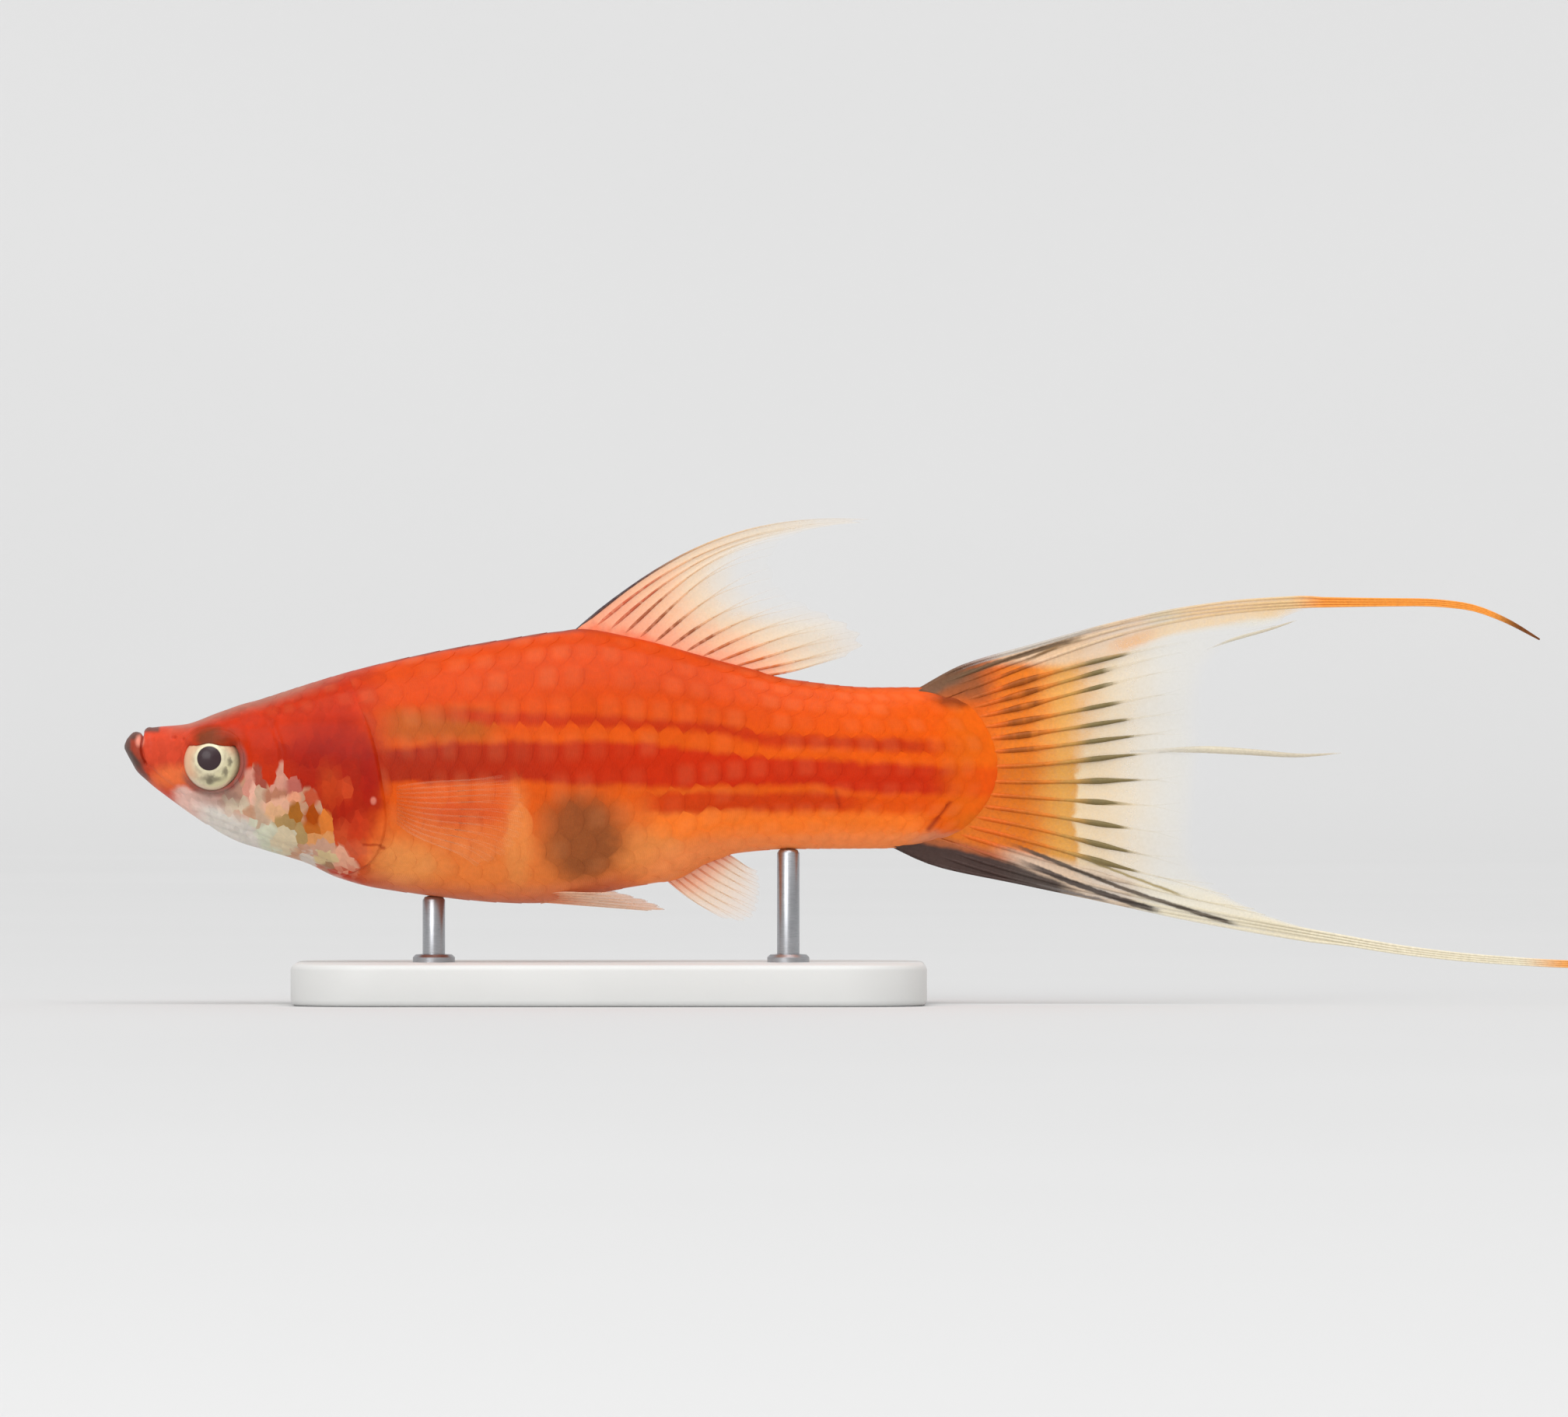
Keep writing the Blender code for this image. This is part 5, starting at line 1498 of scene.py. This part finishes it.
def glassy_look(name, near, far, solid_near, solid_far, reach=0.25):
    """The look of an almost clear fin. reach is how far out the colour of its root gets."""
    made, tree, shader = material(name, Roughness=0.4, Specular_IOR_Level=0.3)
    _, along = own_map(tree, "fin_map")
    stops = [(0.0, near, solid_near), (reach, far, (solid_near + solid_far) / 2), (1.0, far, solid_far)]
    colour, solid = fin_fade(tree, along, stops)
    return clear_look(made, tree, shader, colour, solid)


# The tail's loose threads
THREAD_ROOT = paint(232, 222, 198)
THREAD_TIP = paint(220, 208, 184)


def streamer_look():
    """The look of a loose thread of the tail, which fades away at both ends."""
    made, tree, shader = material("streamer", Roughness=0.4)
    _, along = own_map(tree, "fin_map")
    solid = along.between(0.0, 0.4) * along.between(1.0, 0.85) * 0.5
    colour = blend(tree, THREAD_ROOT, THREAD_TIP, along.between(0.3, 0.8))
    return clear_look(made, tree, shader, colour, solid)


def make_dorsal_fin():
    fan = dorsal_fan()
    make_membrane("dorsal_fin_membrane", fan, upright, dorsal_membrane_look(), 0.12, ["dorsal_fin"])

    def streak(point):
        return 1 + 0.35 * bell(point[..., 1] - back_line(point[..., 0]) - 1.6, 1.1)

    def fork(k):
        return 0.42 if k else 1.0

    make_rays("dorsal_fin_rays", fan, upright, dorsal_ray_look(), 0.12, 0.1, fork, swell=streak)


def make_anal_fin():
    fan = anal_fan()
    web = glassy_look("anal_membrane", paint(252, 172, 124), paint(244, 212, 178), 0.72, 0.04, 0.5)
    rods = glassy_look("anal_rays", paint(242, 138, 86), paint(238, 200, 156), 0.55, 0.06, 0.5)
    make_membrane("anal_fin_membrane", fan, upright, web, 0.06, ["anal_fin"], steps=24)
    make_rays("anal_fin_rays", fan, upright, rods, 0.06, 0.09, 0.5, steps=12)


def make_tail():
    fan, swords = tail_fans()
    web, rods = tail_membrane_look(), tail_ray_look()
    last = TAIL_RAYS - SWORD_RAYS
    nodes = ["tail_fin_upper", "tail_fin_middle", "tail_fin_lower"]
    inner = fan[SWORD_RAYS - 1:last + 1]
    make_membrane(
        "tail_fin_membrane", inner, upright, web, 0.16, nodes, steps=56, notch=0.015, root=0.9,
        among=(SWORD_RAYS - 1, TAIL_RAYS),
    )

    def dash(point):
        x, z = point[..., 0], point[..., 1]
        outer = (0.8 + 0.6 * smooth_step(0.5 - z)) * bell(x - 69.4, 1.5)
        return 1 + outer + 0.9 * bell(x - 63.9, 1.3) * smooth_step(z - 0.2)

    def thread(point):
        t = (point[..., 0] - point[..., 0].min()) / np.ptp(point[..., 0])
        return 0.3 + 0.9 * smooth_step(t / 0.45) * smooth_step((1.1 - t) / 0.5)

    make_rays("tail_fin_rays", fan[SWORD_RAYS:last], upright, rods, 0.16, 0.17,
              lambda k: 0.78 + 0.03 * math.sin(k * 2.3), swell=dash, among=(SWORD_RAYS, TAIL_RAYS))
    for name, sword, first in (("upper", swords[0], 0), ("lower", swords[1], last)):
        node = f"tail_sword_{name}"
        long = joined_rays(fan, sword, range(first, first + SWORD_RAYS))
        make_membrane(
            f"{name}_sword_web", long, upright, web, 0.0, [node], steps=90, notch=0.0, root=0.9,
            among=(first, TAIL_RAYS), reach=0.85,
        )
        make_rays(
            f"{name}_sword_rays", long, upright, rods, 0.0, 0.15, 1.0, [node], steps=60, thin=0.05,
            among=(first, TAIL_RAYS),
        )
    faint = streamer_look()
    for (name, line), thick in zip(STREAMERS.items(), (0.32, 0.12)):
        path = line_at(line, SHARES)
        strand = np.array([path + (0.0, 0.02), path - (0.0, 0.02)])
        make_rays(
            name, strand, upright, faint, 0.0, thick, 1.0, steps=30, thin=0.06, swell=thread,
        )


def make_clear_fin(node, fan, lay, web, rods, wave):
    """One fin of a pair, as a thin membrane and its rays."""
    make_membrane(
        f"{node}_membrane", fan, lay, web, wave, [node], steps=24, splits=4, root=0.4,
    )
    make_rays(f"{node}_rays", fan, lay, rods, wave, 0.09, 0.5, steps=12)


def make_pectoral_fins():
    web = glassy_look("clear_membrane", paint(232, 120, 70), paint(238, 180, 140), 0.04, 0.025)
    rods = glassy_look("clear_rays", paint(236, 134, 86), paint(240, 196, 160), 0.08, 0.04)
    x0, top, width = PECTORAL_ROOT
    fan = straight_fan(PECTORAL_RAYS, -width, PECTORAL_TIPS, PECTORAL_FAN)
    flare, droop = math.radians(PECTORAL_FLARE), math.tan(math.radians(PECTORAL_DROOP))
    for side, name in ((-1, "left"), (1, "right")):

        def lay(a, b, n, side=side):
            root_y = flank(x0, top + np.maximum(b, -width)) + 0.05
            y = root_y + a * math.sin(flare) + n * math.cos(flare)
            x = x0 + a * math.cos(flare) - n * math.sin(flare)
            return np.stack([x, side * y, top + b - a * droop], axis=-1)

        node = f"pectoral_fin_{name}"
        make_clear_fin(node, fan, lay, web, rods, 0.1)


def make_pelvic_fins():
    web = glassy_look("peach_membrane", paint(255, 172, 124), paint(255, 222, 192), 0.5, 0.25, 0.5)
    rods = glassy_look("peach_rays", paint(255, 166, 118), paint(255, 216, 184), 0.5, 0.25, 0.5)
    x0, inner, width = PELVIC_ROOT
    fan = straight_fan(PELVIC_RAYS, width, PELVIC_TIPS, PELVIC_FAN)
    tilt, sink = math.radians(PELVIC_TILT), math.tan(math.radians(PELVIC_SINK))
    root_z = float(belly_line(x0)) + 0.2
    for side, name in ((-1, "left"), (1, "right")):

        def lay(a, b, n, side=side):
            y = inner + b * math.cos(tilt) - n * math.sin(tilt)
            z = root_z - a * sink + b * math.sin(tilt) + n * math.cos(tilt)
            return np.stack([x0 + a, side * y, z], axis=-1)

        node = f"pelvic_fin_{name}"
        make_clear_fin(node, fan, lay, web, rods, 0.08)


# Eyes

PUPIL = (6.14, 0.0)
PUPIL_RADIUS = 0.86
HOOD_EDGE = 1.13  # how far above the eye's middle the hood over it ends
HOOD_ARCH = 0.2  # how much higher it ends over the pupil
RIM_ROUND = 120
RIM_SIDES = 16
EYE_MARKS = [
    ((7.6, -0.25), (0.16, 0.3)), ((7.25, -1.0), (0.18, 0.34)), ((6.35, -1.45), (0.7, 0.22)),
    ((6.2, -1.65), (0.25, 0.2)),
]

# The eye's colours
IRIS_SILVER = paint(198, 186, 156)
IRIS_PALE = paint(216, 206, 172)
IRIS_GOLD = paint(222, 216, 168)
IRIS_PEACH = paint(228, 178, 142)
IRIS_UNDER = paint(222, 194, 170)
IRIS_MARK = paint(116, 108, 88)
PUPIL_RING = paint(238, 230, 196)
EYE_EDGE = paint(120, 74, 58)
LID_DARK = paint(112, 56, 32)
LID_RED = paint(168, 66, 40)
PUPIL_BLACK = paint(58, 42, 46)


def eye_material():
    made, tree, shader = material("eye", Specular_IOR_Level=0.3, Coat_Roughness=0.03, Coat_IOR=1.4)
    where = object_place(tree)
    px, _, pz = parts_of(tree, where)
    x, z = px / MM + TOTAL_LENGTH / 2, pz / MM - AXIS_HEIGHT
    dx, dz = x - PUPIL[0], z - PUPIL[1]
    away = (dx * dx + dz * dz).math("SQRT")
    ex, ez = x - EYE[0], z - EYE[2]
    out = (ex * ex + ez * ez).math("SQRT")
    flecks = noise(tree, where, 0.4, 3.0)
    at = vector_of(tree, x + (flecks - 0.5) * 0.5, z + (flecks - 0.5) * 0.4, 0.0)
    colour = blend(tree, IRIS_SILVER, IRIS_PALE, flecks.between(0.35, 0.6))
    colour = blend(tree, colour, IRIS_GOLD, (ex - ez).between(0.4, 2.2) * 0.7)
    above = (ex * 0.6 - ez).between(0.9, -0.2)
    colour = blend(tree, colour, IRIS_PEACH, out.between(1.05, 1.75) * above * 0.85)
    colour = blend(tree, colour, IRIS_UNDER, out.between(1.6, 1.95) * (ez + 1.2).between(0.4, -0.3) * 0.7)
    for middle, radii in EYE_MARKS:
        colour = blend(tree, colour, IRIS_MARK, spot(at, middle, radii, 0.65) * 0.8)
    colour = blend(tree, colour, PUPIL_RING, away.within(0.88, 1.05, 0.05) * 0.5)
    colour = blend(tree, colour, EYE_EDGE, out.between(1.92, 2.04) * (ex * 0.5 - ez).between(-0.9, 0.8) * 0.8)
    lid = (z + (flecks - 0.5) * 0.3 + abs(dx) * 0.14).between(1.02, 1.14)
    colour = blend(tree, colour, blend(tree, LID_DARK, LID_RED, abs(dx).between(0.5, 1.5)), lid)
    colour = blend(tree, colour, PUPIL_BLACK, away.between(PUPIL_RADIUS + 0.03, PUPIL_RADIUS - 0.03))
    put(tree, shader.inputs["Base Color"], colour)
    iris = away.between(PUPIL_RADIUS, PUPIL_RADIUS + 0.06) * lid.flipped()
    put(tree, shader.inputs["Metallic"], iris * 0.2)
    put(tree, shader.inputs["Coat Weight"], lid.flipped() * 0.25)
    put(tree, shader.inputs["Roughness"], lid * 0.3 + 0.35)
    bump(tree, shader, flecks * iris, 0.3, 0.05)
    return made


def make_eyes():
    """Each eye is a smooth ball, flattened across the head, whose front bulges a little over the pupil."""
    look = eye_material()
    for side, name in ((-1, "eye_left"), (1, "eye_right")):
        bm = bmesh.new()
        bmesh.ops.create_uvsphere(bm, u_segments=64, v_segments=32, radius=1.0)
        (px, py, pz), faces = corners_of(bm)
        x, z = EYE[0] + EYE_RADIUS * px, EYE[2] + EYE_RADIUS * py
        bulge = 0.1 * smooth_step(1 - np.hypot(x - PUPIL[0], z - PUPIL[1]) / 1.3) * (pz > 0)
        points = np.stack([x, side * (EYE[1] + EYE_DEPTH * pz + bulge), z], axis=-1)
        object_of(laid(name, faces, points[None]), look, [name])


def make_eye_rims(look):
    """The fold of skin that closes round each eye and hoods its top."""
    (u, v, _), faces = corners_of(sheet_form(RIM_ROUND, RIM_SIDES))
    around, over = 2 * np.pi * u, 2 * np.pi * v
    up = smooth_step((np.sin(around) - 0.5) / 0.2)
    slope = np.maximum(np.sin(around), 0.5)
    arch = HOOD_EDGE + HOOD_ARCH * bell(EYE[0] + HOOD_EDGE * np.cos(around) / slope - PUPIL[0], 0.6)
    inner = (1 - up) * (EYE_RADIUS - 0.08) + up * arch / slope
    outer = EYE_RADIUS + 0.22 + 0.3 * up
    share = (1 + np.cos(over)) / 2
    radius = inner + (outer - inner) * share
    dome = EYE[1] + EYE_DEPTH * np.sqrt(1 - np.clip(radius / EYE_RADIUS, 0, 1) ** 2)
    edge = EYE[1] + EYE_DEPTH * np.sqrt(1 - np.clip(inner / EYE_RADIUS, 0, 1) ** 2)
    x, z = EYE[0] + radius * np.cos(around), EYE[2] + radius * np.sin(around)
    skin = flank(x, z) + face_relief(x, z) - 0.04 + 0.12 * np.sin(over)
    hood = np.maximum(dome + 0.05, edge + (skin - edge) * share) + 0.1 * np.sin(over)
    y = skin + (hood - skin) * up
    rings = [np.stack([x, side * y, z], axis=-1) for side in (-1, 1)]
    mesh = laid("eye_rims", faces, np.array(rings), closed_by=2e-6)
    return object_of(mesh, look)


# Stand

BASE_GREY = paint(206, 206, 204)
BASE_PALE = paint(222, 222, 220)
STEEL_DARK = paint(150, 152, 156)
STEEL_PALE = paint(196, 197, 200)


def satin_look():
    made, tree, shader = material("satin_base", Roughness=0.42)
    where = object_place(tree)
    cloud, grain = noise(tree, where, 14.0, 3.0), noise(tree, where, 0.35, 2.0)
    colour = blend(tree, BASE_GREY, BASE_PALE, cloud)
    put(tree, shader.inputs["Base Color"], colour)
    put(tree, shader.inputs["Roughness"], grain * 0.14 + 0.36)
    bump(tree, shader, grain, 0.18, 0.03)
    return made


def steel_look():
    made, tree, shader = material("brushed_rod", Metallic=1.0)
    where = object_place(tree)
    px, py, pz = parts_of(tree, where)
    brushed = noise(tree, vector_of(tree, px, py, pz * 14), 0.5, 3.0)
    put(tree, shader.inputs["Base Color"], blend(tree, STEEL_DARK, STEEL_PALE, brushed))
    put(tree, shader.inputs["Roughness"], brushed * 0.2 + 0.22)
    bump(tree, shader, brushed, 0.12, 0.02)
    return made


def loose_mesh(name, bm):
    mesh = bpy.data.meshes.new(name)
    bmesh.ops.recalc_face_normals(bm, faces=bm.faces)
    bm.to_mesh(mesh)
    bm.free()
    return mesh


def turned(outline, middle, steps, closed_by):
    """A form turned about an upright line from (radius, height) points, in metres."""
    bm = bmesh.new()
    points = [bm.verts.new((middle + r, 0.0, z)) for r, z in outline]
    edges = [bm.edges.new(pair) for pair in zip(points, points[1:])]
    bmesh.ops.spin(
        bm, geom=points + edges, cent=(middle, 0.0, 0.0), axis=(0.0, 0.0, 1.0), dvec=(0.0, 0.0, 0.0),
        angle=2 * math.pi, steps=steps, use_merge=True,
    )
    bmesh.ops.remove_doubles(bm, verts=bm.verts, dist=closed_by)
    return bm


def make_stand():
    satin, steel = satin_look(), steel_look()
    bm = bmesh.new()
    bmesh.ops.create_cube(bm, size=1.0)
    bmesh.ops.scale(bm, vec=(BASE_LENGTH * MM, BASE_WIDTH * MM, BASE_THICKNESS * MM), verts=bm.verts)
    middle = place((BASE_MIDDLE, 0.0, BASE_THICKNESS / 2 - AXIS_HEIGHT))
    bmesh.ops.translate(bm, vec=(middle[0], 0.0, middle[2]), verts=bm.verts)
    corners = [e for e in bm.edges if abs(e.verts[0].co.z - e.verts[1].co.z) > BASE_THICKNESS * MM / 2]
    settings = {"profile": 0.5, "affect": "EDGES", "material": -1}
    bmesh.ops.bevel(bm, geom=corners, offset=BASE_CORNER * MM, segments=12, **settings)
    level = [f for f in bm.faces if abs(f.normal.z) > 0.9]
    rims = list({e for f in level for e in f.edges})
    bmesh.ops.bevel(bm, geom=rims, offset=0.45 * MM, segments=4, **settings)
    base = object_of(loose_mesh("stand_plate", bm), satin, ["stand_base"])
    base.data.set_sharp_from_angle(angle=math.radians(30))
    for node, x in ROD_PLACES.items():
        make_rod(node, x, steel)


def make_rod(node, x, steel):
    """An upright rod with a collar at its foot and a round top that just carries the belly."""
    top = float(belly_line(x)) + 0.12
    foot = BASE_THICKNESS - 1.0 - AXIS_HEIGHT
    surface = BASE_THICKNESS - AXIS_HEIGHT
    outline = [(0.0, foot), (ROD_RADIUS, foot), (ROD_RADIUS, surface - 0.05), (1.5, surface - 0.05)]
    outline += [(1.5, surface + 0.35), (1.3, surface + 0.55), (ROD_RADIUS, surface + 0.6)]
    outline += [(ROD_RADIUS, top - 0.3), (0.65, top - 0.08), (0.4, top), (0.0, top)]
    outline = [(r * MM, (z + AXIS_HEIGHT) * MM) for r, z in outline]
    bm = turned(outline, place((x, 0.0, 0.0))[0], 32, 1e-6)
    rod = object_of(loose_mesh(node.replace("stand_", "stand_steel_"), bm), steel, [node])
    rod.data.set_sharp_from_angle(angle=math.radians(35))


# Light, floor and camera

PIXEL = 0.0553
PHOTO_SIZE = (2016, 1822)
PHOTO_ORIGIN = (160, 975)  # the photo's pixel at the tip of the lower lip, on the fish's axis
CAMERA_AWAY = 1500.0
SENSOR = 36.0
STAGE_FLAT = 1.6
STAGE_SWEEP = 0.8
STAGE_STEPS = 16
FLOOR_GREY = paint(208, 208, 208)
FLOOR_PALE = paint(212, 212, 212)


def make_camera():
    width = PHOTO_SIZE[0] * PIXEL
    x = (PHOTO_SIZE[0] / 2 - PHOTO_ORIGIN[0]) * PIXEL
    z = (PHOTO_ORIGIN[1] - PHOTO_SIZE[1] / 2) * PIXEL
    data = bpy.data.cameras.new("camera")
    data.sensor_width = SENSOR
    data.lens = SENSOR * CAMERA_AWAY / width
    data.clip_start = 0.01
    camera = bpy.data.objects.new("camera", data)
    bpy.context.scene.collection.objects.link(camera)
    at = place((x, 0.0, z))
    camera.location = (at[0], -CAMERA_AWAY * MM, at[2])
    camera.rotation_euler = (math.pi / 2, 0.0, 0.0)
    bpy.context.scene.camera = camera


def floor_look():
    made, tree, shader = material("pale_floor", Roughness=0.8, Specular_IOR_Level=0.1)
    cloud = noise(tree, object_place(tree), 160.0, 2.0)
    put(tree, shader.inputs["Base Color"], blend(tree, FLOOR_GREY, FLOOR_PALE, cloud))
    return made


def make_floor():
    """A pale floor that sweeps up into a round wall, so that no horizon shows from any side."""
    outline = [(0.0, 0.0), (STAGE_FLAT, 0.0)]
    for step in range(1, STAGE_STEPS + 1):
        angle = math.pi / 2 * step / STAGE_STEPS
        outline.append((STAGE_FLAT + STAGE_SWEEP * math.sin(angle), STAGE_SWEEP * (1 - math.cos(angle))))
    mesh = loose_mesh("floor", turned(outline, 0.0, 64, 1e-5))
    mesh.shade_smooth()
    mesh.materials.append(floor_look())
    floor = bpy.data.objects.new("floor", mesh)
    bpy.context.scene.collection.objects.link(floor)
    floor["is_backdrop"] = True


def make_light(name, kind, power, at, aim, **settings):
    data = bpy.data.lights.new(name, kind)
    data.energy = power
    for setting, value in settings.items():
        setattr(data, setting, value)
    lamp = bpy.data.objects.new(name, data)
    bpy.context.scene.collection.objects.link(lamp)
    lamp.location = at
    lamp.rotation_euler = (Vector(aim) - Vector(at)).to_track_quat("-Z", "Y").to_euler()


def make_lights():
    world = bpy.data.worlds.new("studio")
    world.use_nodes = True
    background = world.node_tree.nodes["Background"]
    background.inputs["Color"].default_value = (1.0, 1.0, 1.0, 1.0)
    background.inputs["Strength"].default_value = 0.68
    bpy.context.scene.world = world
    middle = (0.0, 0.0, 0.02)
    make_light("overhead", "SUN", 1.5, (0.1, -0.45, 1.0), middle, angle=math.radians(50))
    make_light("front", "AREA", 16.0, (-0.8, -1.9, 0.8), middle, shape="DISK", size=1.4)
    bpy.context.scene.view_settings.view_transform = "Standard"


def main():
    markings = group(
        "markings",
        [("Place", "NodeSocketVector")],
        [("Colour", "NodeSocketColor"), ("Roughness", "NodeSocketFloat"), ("Metallic", "NodeSocketFloat")],
        fill_markings,
    )
    make_camera()
    skin = skin_material(markings)
    make_skin(skin)
    make_eye_rims(skin)
    make_scales(scale_material(markings))
    make_eyes()
    make_dorsal_fin()
    make_anal_fin()
    make_tail()
    make_pectoral_fins()
    make_pelvic_fins()
    make_stand()
    make_floor()
    make_lights()


main()

boxes = {"cad": cad_bounds, "visual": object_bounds()}
{name: [list(corner) for corner in box] for name, box in boxes.items()}
